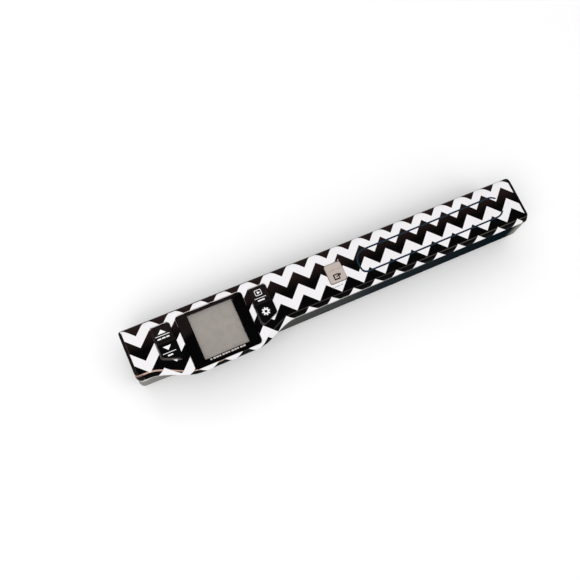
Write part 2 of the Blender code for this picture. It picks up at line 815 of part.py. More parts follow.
def make_top_cover():
    """Patterned upper shell with its end walls, posts, key lugs, wells and window recess."""
    cover = loft("top_cover", film_white(), cover_levels(0, 0), True)
    cut(cover, loft("top_cover_hollow", None, cover_levels(COVER_WALL, CUT_OVERRUN), True))
    for end in ("left", "right"):
        whole = (-CUT_OVERRUN, SWELL_DEPTH)
        cut(cover, end_slab(end + "_trim_room", end, TRIM_THICKNESS + PIECE_GAP, whole, 0))
        band = (crease_at(end) - PIECE_GAP, SWELL_DEPTH)
        cut(cover, end_slab(end + "_wing_room", end, TRIM_WING_LENGTH + PIECE_GAP, band, 0))
    for name, at in screw_places().items():
        join(cover, upright(name + "_post", None, POST_RADIUS, at, (POST_UNDER, CEILING + FUSE_DEPTH)))
        pilot = (POST_UNDER - CUT_OVERRUN, SCREW_UNDER + SCREW_LENGTH + PIECE_GAP)
        cut(cover, upright(name + "_pilot", None, SCREW_RADIUS + PIECE_GAP, at, pilot))
    for along in BOARD_POSTS_ALONG:
        for across in (BOARD_POST_FAR, SCREW_NEAR):
            name = "board_post_%d_%d" % (1000 * along, 1000 * across)
            up = (BOARD_BASE, CEILING + FUSE_DEPTH)
            join(cover, upright(name, None, BOARD_POST_RADIUS, (along, across), up))
    for side, label in ((-1, "left"), (1, "right")):
        for edge in (-1, 1):
            join(cover, key_lug(label, side, edge))
        well = rounded(grown(key_outline(side), PIECE_GAP), KEY_CORNER)
        cut(cover, plate(label + "_key_well", None, well, (CEILING - PIECE_GAP, TOP + CUT_OVERRUN)))
        along = span(key_middle(side), 2 * (key_pin_reach() + CUT_OVERRUN))
        hole = KEY_PIN_RADIUS + KEY_PIN_CLEARANCE
        cut(cover, axle(label + "_key_pin_hole", None, hole, along, (KEY_MIDDLE, KEY_PIN_UP)))
    through = (CEILING - CUT_OVERRUN, TOP + CUT_OVERRUN)
    well = rounded(grown(button_outline(), PIECE_GAP), BUTTON_CORNER)
    cut(cover, plate("scan_button_well", None, well, through))
    recess = rounded(grown(window_outline(), PIECE_GAP), WINDOW_CORNER)
    recess_up = (TOP - WINDOW_THICKNESS - BORE_GAP, TOP + CUT_OVERRUN)
    cut(cover, plate("window_recess", None, recess, recess_up))
    cut(cover, box("display_opening", None, *display_square(PIECE_GAP), through))


def key_lug(label, side, edge):
    """One of the two lugs under the cover that carry a rocking key's pins."""
    middle = key_middle(side) + edge * (key_pin_reach() - KEY_LUG_THICKNESS / 2)
    name = label + ("_inner_lug" if edge * side < 0 else "_outer_lug")
    up = (KEY_PIN_UP - KEY_LUG_BELOW_PIN, CEILING + FUSE_DEPTH)
    return box(name, None, span(middle, KEY_LUG_THICKNESS), span(KEY_MIDDLE, KEY_LUG_WIDTH), up)


def make_end_trims():
    """Thin black pieces that close the ends of the top cover and wrap its near corners."""
    for end in ("left", "right"):
        trim = loft(end + "_end_trim", gloss_black(), cover_levels(0, 0), True)
        kept = end_slab(end + "_trim_slab", end, TRIM_THICKNESS, (-CUT_OVERRUN, SWELL_DEPTH), 0)
        band = (crease_at(end), SWELL_DEPTH + BORE_GAP)
        join(kept, end_slab(end + "_trim_wing", end, TRIM_WING_LENGTH, band, BORE_GAP))
        combine(trim, kept, "INTERSECT")


def make_bottom_cover():
    """Dark lower shell with its scan window, roller pockets, bearing ribs, screw bosses and ports."""
    cover = loft("bottom_cover", shell_grey(), bottom_levels(0, 0), True)
    cut(cover, loft("bottom_cover_hollow", None, bottom_levels(COVER_WALL, CUT_OVERRUN), True))
    below = SOLE - CUT_OVERRUN
    glass_along = (SENSOR_LEFT + SENSOR_END_WALL, SENSOR_RIGHT - SENSOR_END_WALL)
    glass_across = span(SENSOR_MIDDLE, GLASS_WIDTH + 2 * PIECE_GAP)
    cut(cover, box("scan_window", None, glass_along, glass_across, (below, FLOOR + CUT_OVERRUN)))
    for name, at in screw_places().items():
        join(cover, upright(name + "_boss", None, POST_RADIUS, at, (FLOOR - FUSE_DEPTH, BOSS_TOP)))
        head_up = (below, SOLE + HEAD_SEAT + PIECE_GAP)
        cut(cover, upright(name + "_head_room", None, SCREW_HEAD_RADIUS + PIECE_GAP, at, head_up))
        shank_up = (SOLE, BOSS_TOP + CUT_OVERRUN)
        cut(cover, upright(name + "_shank_room", None, SCREW_RADIUS + PIECE_GAP, at, shank_up))
    for end, along, outward in (("left", LEFT_ROLLER, -1), ("right", RIGHT_ROLLER, 1)):
        for rib in bearing_ribs(end, along, outward):
            join(cover, rib)
        for row, across in (("rear", REAR_SHAFT), ("front", IDLER_PIN)):
            beside = GEAR_GAP + GEAR_WIDTH if (end, row) == ("left", "rear") else 0
            pocket = (along - POCKET_HALF, along + POCKET_HALF + beside)
            wide = span(across, 2 * (ROLLER_RADIUS + PIECE_GAP))
            cut(cover, box(end + "_" + row + "_pocket", None, pocket, wide, (below, POCKET_TOP)))
            cut(cover, bearing_slot(end + "_" + row, row, along, across))
    post = (ENCODER_POST_LEFT, ENCODER_POST_LEFT + POST_THICKNESS)
    post_up = (FLOOR - FUSE_DEPTH, ENCODER_UP + ENCODER_PIN_RADIUS + RIB_THICKNESS)
    join(cover, box("encoder_post", None, post, span(REAR_SHAFT, RIB_WIDTH), post_up))
    through = (post[0] - CUT_OVERRUN, post[1] + CUT_OVERRUN)
    pin_hole = ENCODER_PIN_RADIUS + BORE_GAP
    cut(cover, axle("encoder_pin_hole", None, pin_hole, through, (REAR_SHAFT, ENCODER_UP)))
    shaft_room = SHAFT_RADIUS + PIECE_GAP
    cut(cover, axle("encoder_shaft_room", None, shaft_room, through, (REAR_SHAFT, SHAFT_UP)))
    port = rounded(port_section(PIECE_GAP), PORT_CORNER)
    cut(cover, profile_bar("port_room", None, port, (-CUT_OVERRUN, END_INSET + COVER_WALL + CUT_OVERRUN)))
    slot_along = span(CARD_SOCKET_MIDDLE, CARD_SLOT_WIDTH + 2 * PIECE_GAP)
    slot_up = span(CARD_SLOT_UP, CARD_SLOT_HEIGHT + 2 * PIECE_GAP)
    cut(cover, box("card_slot", None, slot_along, (-CUT_OVERRUN, COVER_WALL + CUT_OVERRUN), slot_up))


def bearing_ribs(end, along, outward):
    """Upright ribs on the floor that hold the shaft's bush, and the idler pin at both ends."""
    bush = along + outward * (POCKET_HALF + BUSH_FROM_ROLLER)
    places = {"_bush_rib": (bush, REAR_SHAFT)}
    reach = POCKET_HALF + PIECE_GAP + RIB_THICKNESS / 2
    places["_idler_rib_a"] = (along - reach, IDLER_PIN)
    places["_idler_rib_b"] = (along + reach, IDLER_PIN)
    ribs = []
    for name, (middle, across) in places.items():
        wide = span(across, RIB_WIDTH)
        ribs.append(box(end + name, None, span(middle, RIB_THICKNESS), wide, (FLOOR - FUSE_DEPTH, RIB_TOP)))
    return ribs


def bearing_slot(name, row, along, across):
    """The U-shaped slot, open upwards, that a bush or an idler pin drops into."""
    radius = (BUSH_RADIUS if row == "rear" else IDLER_PIN_RADIUS) + BORE_GAP
    reach = span(along, 2 * (POCKET_HALF + BUSH_FROM_ROLLER + RIB_THICKNESS))
    slot = box(name + "_slot", None, reach, span(across, 2 * radius), (SHAFT_UP, RIB_TOP + CUT_OVERRUN))
    join(slot, axle(name + "_seat", None, radius, reach, (across, SHAFT_UP)))
    return slot


def window_outline():
    return rectangle((WINDOW_LEFT, WINDOW_RIGHT), (WINDOW_FAR, WINDOW_NEAR))


def button_outline():
    return rectangle((BUTTON_LEFT, BUTTON_RIGHT), (BUTTON_FAR, BUTTON_NEAR))


def make_window_and_display():
    """Glossy black window plate and the display module behind it."""
    window = rounded(window_outline(), WINDOW_CORNER)
    plate("display_window", gloss_black(), window, (TOP - WINDOW_THICKNESS, TOP))
    up = (MODULE_TOP - MODULE_THICKNESS, MODULE_TOP)
    module = box("display_module", chip_black(), *display_square(MODULE_BORDER), up)
    up = (MODULE_TOP - SCREEN_RECESS, MODULE_TOP + CUT_OVERRUN)
    cut(module, box("screen_recess", None, *display_square(0), up))


def make_keys():
    """Two rocking keys on their pins, and the scan button."""
    flange_top = CEILING - KEY_FLANGE_DROP
    flange_under = flange_top - KEY_FLANGE_THICKNESS
    for side, name in ((-1, "left_rocker_key"), (1, "right_rocker_key")):
        outline = key_outline(side)
        pivot = place(key_middle(side), KEY_MIDDLE, KEY_PIN_UP)
        cap = rounded(outline, KEY_CORNER)
        key = plate(name, key_black(), cap, (flange_under, TOP + KEY_PROUD), pivot)
        soften(key, KEY_EDGE_BEVEL)
        flange = rounded(grown(outline, KEY_FLANGE), KEY_CORNER)
        join(key, plate(name + "_flange", None, flange, (flange_under + BORE_GAP, flange_top)))
        along = span(key_middle(side), 2 * key_pin_reach())
        join(key, axle(name + "_pin", None, KEY_PIN_RADIUS, along, (KEY_MIDDLE, KEY_PIN_UP)))
        for press, end in ((-1, "_far"), (1, "_near")):
            along = span(key_middle(side), KEY_NUB_SIDE)
            across = span(KEY_MIDDLE + press * PRESS_SPREAD, KEY_NUB_SIDE)
            join(key, box(name + end + "_nub", None, along, across, (PLUNGER_TOP + ROCK_ROOM, flange_top)))
    skirt_top = CEILING - PIECE_GAP
    skirt_under = skirt_top - KEY_FLANGE_THICKNESS
    pivot = place(BUTTON_MIDDLE_ALONG, BUTTON_MIDDLE_ACROSS, TOP)
    cap = rounded(button_outline(), BUTTON_CORNER)
    button = plate("scan_button", taupe(), cap, (skirt_under, TOP + KEY_PROUD), pivot)
    soften(button, KEY_EDGE_BEVEL)
    skirt = rounded(grown(button_outline(), BUTTON_SKIRT), BUTTON_CORNER)
    join(button, plate("scan_button_skirt", None, skirt, (skirt_under + BORE_GAP, skirt_top)))
    along = span(BUTTON_MIDDLE_ALONG, BUTTON_STEM_SIDE)
    across = span(BUTTON_MIDDLE_ACROSS, BUTTON_STEM_SIDE)
    stem_under = PLUNGER_TOP + BUTTON_TRAVEL + BORE_GAP
    join(button, box("scan_button_stem", None, along, across, (stem_under, skirt_top)))


def make_board():
    """Main board with its switches, processor, ports and battery connector."""
    across = (BOARD_FAR, BOARD_FAR + BOARD_WIDTH)
    box("main_board", board_green(), (BOARD_LEFT, BOARD_RIGHT), across, (BOARD_UNDER, BOARD_TOP))
    switches = {
        "up_switch": (key_middle(-1), KEY_MIDDLE - PRESS_SPREAD),
        "down_switch": (key_middle(-1), KEY_MIDDLE + PRESS_SPREAD),
        "play_switch": (key_middle(1), KEY_MIDDLE - PRESS_SPREAD),
        "settings_switch": (key_middle(1), KEY_MIDDLE + PRESS_SPREAD),
        "scan_switch": (BUTTON_MIDDLE_ALONG, BUTTON_MIDDLE_ACROSS),
    }
    for name, (along, across) in switches.items():
        up = (BOARD_BASE, BOARD_BASE + SWITCH_HEIGHT / 2)
        switch = box(name, tin(), span(along, SWITCH_SIDE), span(across, SWITCH_SIDE), up)
        plunger_up = (BOARD_BASE + BORE_GAP, PLUNGER_TOP)
        join(switch, upright(name + "_plunger", None, PLUNGER_RADIUS, (along, across), plunger_up))
    along = (PROCESSOR_LEFT, PROCESSOR_LEFT + PROCESSOR_SIDE)
    across = span(KEY_MIDDLE, PROCESSOR_SIDE)
    box("processor", chip_black(), along, across, (UNDER_BOARD - PROCESSOR_HEIGHT, UNDER_BOARD))
    across = span(KEY_MIDDLE, CONNECTOR_WIDTH)
    along = (BOARD_RIGHT - CONNECTOR_LENGTH, BOARD_RIGHT)
    box("battery_connector", gear_white(), along, across, (BOARD_BASE, BOARD_BASE + CONNECTOR_HEIGHT))


def make_ports():
    """USB port in the left end and memory card socket in the far side, both under the board."""
    outside = rounded(port_section(0), PORT_CORNER)
    port = profile_bar("usb_port", tin(), outside, (PORT_LEFT, PORT_RIGHT))
    inside = rounded(port_section(-PORT_WALL), PORT_CORNER - PORT_WALL)
    cut(port, profile_bar("port_mouth", None, inside, (-CUT_OVERRUN, PORT_RIGHT - PORT_WALL)))
    along = (PORT_LEFT + PORT_WALL, PORT_RIGHT - PORT_WALL / 2)
    across = span(PORT_MIDDLE, PORT_WIDTH / 2)
    up = span(UNDER_BOARD - PORT_HEIGHT / 2, PORT_TONGUE)
    join(port, box("port_tongue", None, along, across, up))
    far = COVER_WALL + PIECE_GAP
    near = far + CARD_SOCKET_DEPTH
    along = span(CARD_SOCKET_MIDDLE, CARD_SOCKET_WIDTH)
    socket = box("card_socket", tin(), along, (far, near), span(CARD_SLOT_UP, CARD_SOCKET_HEIGHT))
    along = span(CARD_SOCKET_MIDDLE, CARD_SLOT_WIDTH)
    across = (-CUT_OVERRUN, near - PORT_WALL)
    cut(socket, box("card_room", None, along, across, span(CARD_SLOT_UP, CARD_SLOT_HEIGHT)))


def make_battery():
    """Flat rechargeable pack on the sensor's board, and its lead to the main board's connector."""
    under = SENSOR_BOARD_TOP + PIECE_GAP
    along = (BATTERY_LEFT, BATTERY_RIGHT)
    across = (BATTERY_FAR, BATTERY_FAR + BATTERY_WIDTH)
    pack = box("battery_pack", film_blue(), along, across, (under, under + BATTERY_THICKNESS))
    soften(pack, BATTERY_EDGE, 3)
    along = (BOARD_RIGHT + PIECE_GAP, BATTERY_LEFT - PIECE_GAP)
    lead_up = BOARD_BASE + CONNECTOR_HEIGHT / 2
    axle("battery_lead", chip_black(), LEAD_RADIUS, along, (KEY_MIDDLE, lead_up))


def make_sensor():
    """Line sensor across the page: housing, glass, light guide, lamp, lens array, board and ribbon."""
    along = (SENSOR_LEFT, SENSOR_RIGHT)
    across = (SENSOR_FAR, SENSOR_NEAR)
    inner = (SENSOR_LEFT + SENSOR_END_WALL, SENSOR_RIGHT - SENSOR_END_WALL)
    housing = box("sensor_housing", sensor_black(), along, across, (SENSOR_UNDER, SENSOR_TOP))
    room_across = (SENSOR_FAR + SENSOR_SIDE_WALL, SENSOR_NEAR - SENSOR_SIDE_WALL)
    room_up = (SENSOR_UNDER - CUT_OVERRUN, SENSOR_UNDER + GUIDE_ROOM_HEIGHT)
    cut(housing, box("guide_room", None, inner, room_across, room_up))
    lens_middle = SENSOR_FAR + LENS_FROM_FAR
    slot_across = span(lens_middle, LENS_WIDTH + 2 * BORE_GAP)
    slot_up = (SENSOR_UNDER, SENSOR_TOP + CUT_OVERRUN)
    cut(housing, box("lens_slot", None, inner, slot_across, slot_up))
    box("sensor_board", board_green(), along, across, (SENSOR_TOP + PIECE_GAP, SENSOR_BOARD_TOP))
    glass_along = (inner[0] + PIECE_GAP, inner[1] - PIECE_GAP)
    glass_up = (SOLE + GLASS_RECESS, SOLE + GLASS_RECESS + GLASS_THICKNESS)
    box("scan_glass", clear_plastic(), glass_along, span(SENSOR_MIDDLE, GLASS_WIDTH), glass_up)
    lens_up = (SENSOR_TOP - PIECE_GAP - LENS_HEIGHT, SENSOR_TOP - PIECE_GAP)
    box("rod_lens_array", clear_plastic(), glass_along, span(lens_middle, LENS_WIDTH), lens_up)
    make_light_guide(inner)
    make_ribbon()


def make_light_guide(inner):
    """Clear bar that spreads the lamp's light along the page, with its lamp at the right end."""
    far = SENSOR_FAR + SENSOR_SIDE_WALL + PIECE_GAP
    near = far + GUIDE_WIDTH
    under = SENSOR_UNDER + PIECE_GAP
    over = under + GUIDE_HEIGHT
    section = [
        (far, under),
        (near - GUIDE_CHAMFER, under),
        (near, under + GUIDE_CHAMFER),
        (near, over),
        (far, over),
    ]
    lamp_right = inner[1] - PIECE_GAP
    lamp_left = lamp_right - LAMP_LENGTH
    profile_bar("light_guide", clear_plastic(), section, (inner[0] + PIECE_GAP, lamp_left - PIECE_GAP))
    box("guide_lamp", gear_white(), (lamp_left, lamp_right), (far, near), (under, over))


def make_ribbon():
    """Folded ribbon cable from the sensor's board up to the main board."""
    under = SENSOR_BOARD_TOP + PIECE_GAP
    over = UNDER_BOARD
    bend = (over - under) / 2
    middle = (SENSOR_MIDDLE, under + bend)
    far = SENSOR_MIDDLE - RIBBON_REACH / 2
    outline = [(far, over)]
    outline += arc(middle, bend, 90, -90, SMALL_STEPS // 2)
    outline += [(far, under), (far, under + RIBBON_THICKNESS)]
    outline += arc(middle, bend - RIBBON_THICKNESS, -90, 90, SMALL_STEPS // 2)
    outline += [(far, over - RIBBON_THICKNESS)]
    profile_bar("sensor_ribbon", ribbon_film(), outline, (RIBBON_LEFT, RIBBON_LEFT + RIBBON_WIDTH))


def roller_profile(bore):
    """Half section of a roller with chamfered edges, down its outer side and back up its bore."""
    half = ROLLER_WIDTH / 2
    return [
        (bore, half),
        (ROLLER_RADIUS - ROLLER_EDGE, half),
        (ROLLER_RADIUS, half - ROLLER_EDGE),
        (ROLLER_RADIUS, ROLLER_EDGE - half),
        (ROLLER_RADIUS - ROLLER_EDGE, -half),
        (bore, -half),
    ]


def gear_outline(teeth, turn):
    """Points of a spur gear's involute outline about its centre, its first tooth turned to an angle."""
    pitch = GEAR_MODULE * teeth / 2
    base = pitch * math.cos(PRESSURE_ANGLE)
    tip = pitch + ADDENDUM_SHARE * GEAR_MODULE
    root = pitch - DEDENDUM_SHARE * GEAR_MODULE
    involute = math.tan(PRESSURE_ANGLE) - PRESSURE_ANGLE
    half_tooth = TOOTH_SHARE * math.pi / teeth + involute
    flank = []
    start = max(base, root)
    for i in range(FLANK_STEPS + 1):
        radius = mix(start, tip, i / FLANK_STEPS)
        unwind = math.acos(min(1.0, base / radius))
        flank.append((radius, half_tooth - (math.tan(unwind) - unwind)))
    points = []
    for tooth in range(teeth):
        middle = turn + math.tau * tooth / teeth
        points.append((root, middle - half_tooth))
        points += [(radius, middle - angle) for radius, angle in flank]
        points += [(radius, middle + angle) for radius, angle in reversed(flank)]
        points.append((root, middle + half_tooth))
    return [(radius * math.cos(angle), radius * math.sin(angle)) for radius, angle in points]


def code_disc_outline():
    """Points of the slotted disc's outline about its centre."""
    points = []
    inner = CODE_DISC_RADIUS - CODE_SLOT_DEPTH
    half = math.pi / CODE_SLOTS
    corners = ((CODE_DISC_RADIUS, 0), (CODE_DISC_RADIUS, half), (inner, half), (inner, 2 * half))
    for slot in range(CODE_SLOTS):
        start = 2 * half * slot + half / 2
        for radius, turn in corners:
            points.append((radius * math.cos(start + turn), radius * math.sin(start + turn)))
    return points


def centred(outline, across, up):
    return [(across + x, up + y) for x, y in outline]


def make_rollers():
    """Rear shaft with its two rollers and bushes, and the two front idlers on their pins."""
    x_axis = Vector((1, 0, 0))
    rear = (REAR_SHAFT, SHAFT_UP)
    front = (IDLER_PIN, SHAFT_UP)
    reach = ROLLER_WIDTH / 2 + SHAFT_OVERHANG
    shaft = (LEFT_ROLLER - reach, RIGHT_ROLLER + reach)
    axle("roller_shaft", steel(), SHAFT_RADIUS, shaft, rear, ROUND_STEPS)
    bore = SHAFT_RADIUS + BORE_GAP
    half = BUSH_LENGTH / 2
    ring = [(bore, half), (BUSH_RADIUS, half), (BUSH_RADIUS, -half), (bore, -half)]
    for end, along, outward in (("left", LEFT_ROLLER, -1), ("right", RIGHT_ROLLER, 1)):
        profile = roller_profile(bore)
        turned("rear_" + end + "_roller", roller_rubber(), profile, place(along, *rear), x_axis)
        bush = place(along + outward * (POCKET_HALF + BUSH_FROM_ROLLER), *rear)
        turned(end + "_shaft_bush", bronze(), ring, bush, x_axis, SMALL_STEPS)
        profile = roller_profile(IDLER_PIN_RADIUS + BORE_GAP)
        turned("front_" + end + "_roller", roller_rubber(), profile, place(along, *front), x_axis)
        pin = span(along, ROLLER_WIDTH + 2 * IDLER_PIN_OVERHANG)
        axle("front_" + end + "_pin", steel(), IDLER_PIN_RADIUS, pin, front)
    gear_span = (GEAR_LEFT, GEAR_LEFT + GEAR_WIDTH - PIECE_GAP)
    teeth = centred(gear_outline(DRIVE_TEETH, math.pi / 2), *rear)
    gear = profile_bar("roller_gear", gear_white(), teeth, gear_span, place(GEAR_LEFT, *rear))
    through = (GEAR_LEFT - CUT_OVERRUN, GEAR_LEFT + GEAR_WIDTH + CUT_OVERRUN)
    cut(gear, axle("roller_gear_bore", None, bore, through, rear, ROUND_STEPS))


def make_encoder():
    """Wheel that the roller's gear turns, with its pin and the optical eye around its code disc."""
    centre = (REAR_SHAFT, ENCODER_UP)
    # A gap of the encoder's gear faces the drive gear's top tooth.
    teeth = centred(gear_outline(ENCODER_TEETH, -math.pi / 2 + math.pi / ENCODER_TEETH), *centre)
    gear_right = GEAR_LEFT + GEAR_WIDTH
    pivot = place(GEAR_LEFT, *centre)
    wheel = profile_bar("encoder_wheel", gear_white(), teeth, (GEAR_LEFT, gear_right), pivot)
    disc = (CODE_DISC_LEFT, CODE_DISC_LEFT + CODE_DISC_THICKNESS)
    join(wheel, profile_bar("code_disc", None, centred(code_disc_outline(), *centre), disc))
    disc_middle = (disc[0] + disc[1]) / 2
    hub = (gear_right - FUSE_DEPTH, disc_middle)
    join(wheel, axle("encoder_hub", None, HUB_RADIUS, hub, centre, ROUND_STEPS))
    pin_left = GEAR_LEFT - BORE_GAP - PIN_HEAD_LENGTH
    pin_right = ENCODER_POST_LEFT + POST_THICKNESS
    bore = ENCODER_PIN_RADIUS + BORE_GAP
    cut(wheel, axle("encoder_bore", None, bore, (pin_left, pin_right), centre, ROUND_STEPS))
    length = pin_right - pin_left
    profile = [
        (0, length),
        (ENCODER_PIN_RADIUS, length),
        (ENCODER_PIN_RADIUS, PIN_HEAD_LENGTH),
        (PIN_HEAD_RADIUS, PIN_HEAD_LENGTH),
        (PIN_HEAD_RADIUS, 0),
        (0, 0),
    ]
    turned("encoder_pin", steel(), profile, place(pin_left, *centre), Vector((1, 0, 0)), SMALL_STEPS)
    eye_under = ENCODER_UP + CODE_DISC_RADIUS - EYE_BITE
    eye_over = eye_under + EYE_HEIGHT
    across = span(REAR_SHAFT, EYE_DEPTH)
    eye = box("encoder_eye", chip_black(), span(disc_middle, EYE_LENGTH), across, (eye_under, eye_over))
    across = span(REAR_SHAFT, EYE_DEPTH + 2 * CUT_OVERRUN)
    groove_up = (eye_under - CUT_OVERRUN, ENCODER_UP + CODE_DISC_RADIUS + PIECE_GAP)
    cut(eye, box("eye_groove", None, span(disc_middle, EYE_GAP), across, groove_up))
    across = span(REAR_SHAFT, EYE_DEPTH - 2 * BORE_GAP)
    carrier_up = (eye_over - FUSE_DEPTH, UNDER_BOARD)
    join(eye, box("eye_carrier", None, span(disc_middle, EYE_CARRIER_THICKNESS), across, carrier_up))


def make_screws():
    """Four pan-head housing screws that reach from the sole into the top cover's posts."""
    profile = [
        (0, SCREW_LENGTH),
        (SCREW_RADIUS, SCREW_LENGTH),
        (SCREW_RADIUS, SCREW_HEAD_HEIGHT),
        (SCREW_HEAD_RADIUS, SCREW_HEAD_HEIGHT),
        (SCREW_HEAD_RADIUS, SCREW_HEAD_EDGE),
        (SCREW_HEAD_RADIUS - SCREW_HEAD_EDGE, 0),
        (0, 0),
    ]
    for name, at in screw_places().items():
        origin = place(*at, SCREW_UNDER)
        screw = turned(name + "_screw", steel(), profile, origin, Vector((0, 0, 1)), SMALL_STEPS)
        up = (SCREW_UNDER - CUT_OVERRUN, SCREW_UNDER + RECESS_DEPTH)
        long_along = span(at[0], RECESS_LENGTH)
        long_across = span(at[1], RECESS_LENGTH)
        cut(screw, box(name + "_recess_a", None, span(at[0], RECESS_WIDTH), long_across, up))
        cut(screw, box(name + "_recess_b", None, long_along, span(at[1], RECESS_WIDTH), up))


clear_scene()
make_top_cover()
make_end_trims()
make_bottom_cover()
make_window_and_display()
make_keys()
make_board()
make_ports()
make_battery()
make_sensor()
make_rollers()
make_encoder()
make_screws()
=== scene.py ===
"""Looks of a handheld wand scanner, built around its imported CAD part. Lengths are in metres."""
import math

import bmesh
import bpy
from mathutils import Matrix, Vector


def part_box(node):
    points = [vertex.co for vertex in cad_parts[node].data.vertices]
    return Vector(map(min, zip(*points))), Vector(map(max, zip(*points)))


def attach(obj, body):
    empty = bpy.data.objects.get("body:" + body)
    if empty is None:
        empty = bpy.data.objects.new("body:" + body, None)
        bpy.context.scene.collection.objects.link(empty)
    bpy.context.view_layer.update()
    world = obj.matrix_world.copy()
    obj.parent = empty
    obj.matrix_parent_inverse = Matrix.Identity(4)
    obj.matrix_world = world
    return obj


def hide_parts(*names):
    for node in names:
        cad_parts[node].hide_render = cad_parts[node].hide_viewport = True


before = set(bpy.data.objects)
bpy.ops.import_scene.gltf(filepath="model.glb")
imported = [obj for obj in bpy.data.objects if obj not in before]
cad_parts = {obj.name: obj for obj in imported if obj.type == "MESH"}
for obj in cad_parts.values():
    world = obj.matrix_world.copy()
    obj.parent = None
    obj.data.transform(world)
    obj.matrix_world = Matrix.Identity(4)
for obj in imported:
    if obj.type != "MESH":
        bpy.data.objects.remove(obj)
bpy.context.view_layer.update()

# ---- Sizes that the part's source has too
BODY_LENGTH = 0.2597
SWELL_DEPTH = 0.0390
TOP = 0.0272
KEY_PROUD = 0.0006
KEY_FACE = TOP + KEY_PROUD
COVER_WALL = 0.0018
COVER_HEIGHT = 0.0036
CEILING = TOP - COVER_WALL
SPLIT = TOP - COVER_HEIGHT
PIECE_GAP = 0.0003
BORE_GAP = 0.0001
OVERRUN = 0.0020
TRIM_THICKNESS = 0.0014
TRIM_WING_LENGTH = 0.0040

DISPLAY_SIDE = 0.0269
DISPLAY_FAR = 0.0067
SCREEN_RECESS = 0.0003
WINDOW_MIDDLE = 0.0520
WINDOW_LEFT = 0.0319
WINDOW_RIGHT = 0.0721
WINDOW_FAR = 0.0049
WINDOW_NEAR = 0.0369
WINDOW_THICKNESS = 0.0012
WINDOW_CORNER = 0.0020

CREASE = (0.0281, 0.0376, 0.0283)
SPLIT_NEAR = (0.0304, 0.0390, 0.0306)
CREASE_CORNERS = (0.0020, 0.0016)
SPLIT_CORNERS = (0.0034, 0.0022)
FAR_CORNER = 0.0014
LEAST_CORNER = 0.0010
BAND_POWER = 1.6
SWELL_RISE = (0.0065, 0.0355)
SWELL_FALL = (0.0665, 0.0940)
SWELL_FALL_LEAN = 0.0025

KEY_OUTER = 0.0349
KEY_INNER = 0.0242
KEY_FAR = 0.0059
KEY_NEAR_OUTER = 0.0238
KEY_NEAR_INNER = 0.0281
KEY_CORNER = 0.0014
KEY_MIDDLE = 0.015925
KEY_FLANGE = 0.0008
KEY_FLANGE_UNDER = 0.0241
KEY_FLANGE_TOP = 0.0247
KEY_PIN_RADIUS = 0.0006
KEY_PIN_UP = 0.0244
KEY_PIN_REACH = 0.00765

BUTTON = (0.1233, 0.1337)
BUTTON_ACROSS = (0.0099, 0.0215)
BUTTON_CORNER = 0.0013
BUTTON_SKIRT = 0.0008
BUTTON_SKIRT_UNDER = 0.0245
BUTTON_SKIRT_TOP = 0.0251

REAR_BORE = 0.00085
FRONT_BORE = 0.0007
TYRE_EDGE = 0.0005

# ---- Fine shapes that the source leaves plain
CREASE_EASE = 0.00032
CREASE_EASES = (0.00075, 0.00045, 0.00032)
CREASE_EASE_SHARES = (0.6, 0.19)
TRIM_FAR_POWER = 0.5
TRIM_EASE = 0.00018
WELL_EASE = 0.00015
KEY_EASE = 0.0003
WINDOW_EASE = 0.00015
PANE_GAP = 0.00001
SCREEN_GAP = 0.00002
SCREEN_THICKNESS = 0.0002
MARK_THICKNESS = 0.00003
ARROW_LIFT = 0.00002
AXIS_GAP = 0.00001
GROOVES = 7
GROOVE_DEPTH = 0.00018
GROOVE_HALF_TOP = 0.00022
GROOVE_HALF_FOOT = 0.00008

# ---- Facets, finer than the source's
OUTLINE_CORNER_STEPS = 8
CORNER_STEPS = 12
RAMP_STEPS = 30
BAND_STEPS = 14
BAND_ANGLES = [math.pi / 2 * i / BAND_STEPS for i in range(BAND_STEPS + 1)]
LEAST_BAND_STEP = 0.03
BAND_RUN_STEPS = 12
ROUND_STEPS = 96
KEY_PIN_STEPS = 24
TYRE_EDGE_STEPS = 4
WELD_REACH = 0.000002
FLAT_ANGLE = math.radians(0.5)
SMOOTH_ANGLE = math.radians(32)
TRIM_EDGE_ANGLE = math.radians(50)

# ---- Print on the patterned film: places in its own millimetres, along and across
MM = 0.001
FILM_LEFT = 1.5
FILM_FAR = 0.7
STRIPE_PEAK = 0.14
STRIPE_HALF_PERIOD = 7.355
STRIPE_FAR = 4.6
STRIPE_WIDTH = 7.43
STRIPE_BLUR = 0.03
BLACK_EXTRA = 0.18
# How far the stripes lie off their even grid: sums of ramps by the distance along,
# each given as from, to, and the amounts at those two
STRIPES_ALONG = ((8.0, 38.0, -0.52, 1.05), (60.0, 95.0, 0.0, -0.20), (115.0, 205.0, 0.0, -0.85),
                 (205.0, 220.0, 0.0, -0.08))
STRIPES_ACROSS = ((10.0, 45.0, 1.15, 0.52), (45.0, 115.0, 0.0, -0.14), (115.0, 205.0, 0.0, -0.34),
                  (205.0, 255.0, 0.0, -0.40))
# The stripes lean on the near band past the swell
BAND_START = 27.6
BAND_LEAN = 0.26
BAND_LEAN_ALONG = (92.0, 100.0)
# Where the film's far edge turns black, and how much nearer it lies at the left
FILM_END = -0.75
FILM_END_RISE = 0.75
FILM_END_ALONG = (60.0, 130.0)
CAPSULE_MIDDLE = (193.85, 14.58)
CAPSULE_HALF_RUN = 44.5
CAPSULE_RADIUS = 6.76
CAPSULE_LINE = 0.54
CAPSULE_OPEN = (-4.6, 4.2)
CAPSULE_CORNER_POWER = 4.0
CIRCLE_POWER = 2.0
LINE_BLUR = 0.06
# Where the black turns from a painted brown reflection to plain, and where the crease and its painted
# highlight lie
BROWN_REFLECTION_ACROSS = (9.0, 16.0)
CREASE_ACROSS = (12.0, 14.0)
CREASE_PALER_ALONG = (165.0, 205.0)
SWELL_LIGHT_ALONG = (44.0, 56.0)
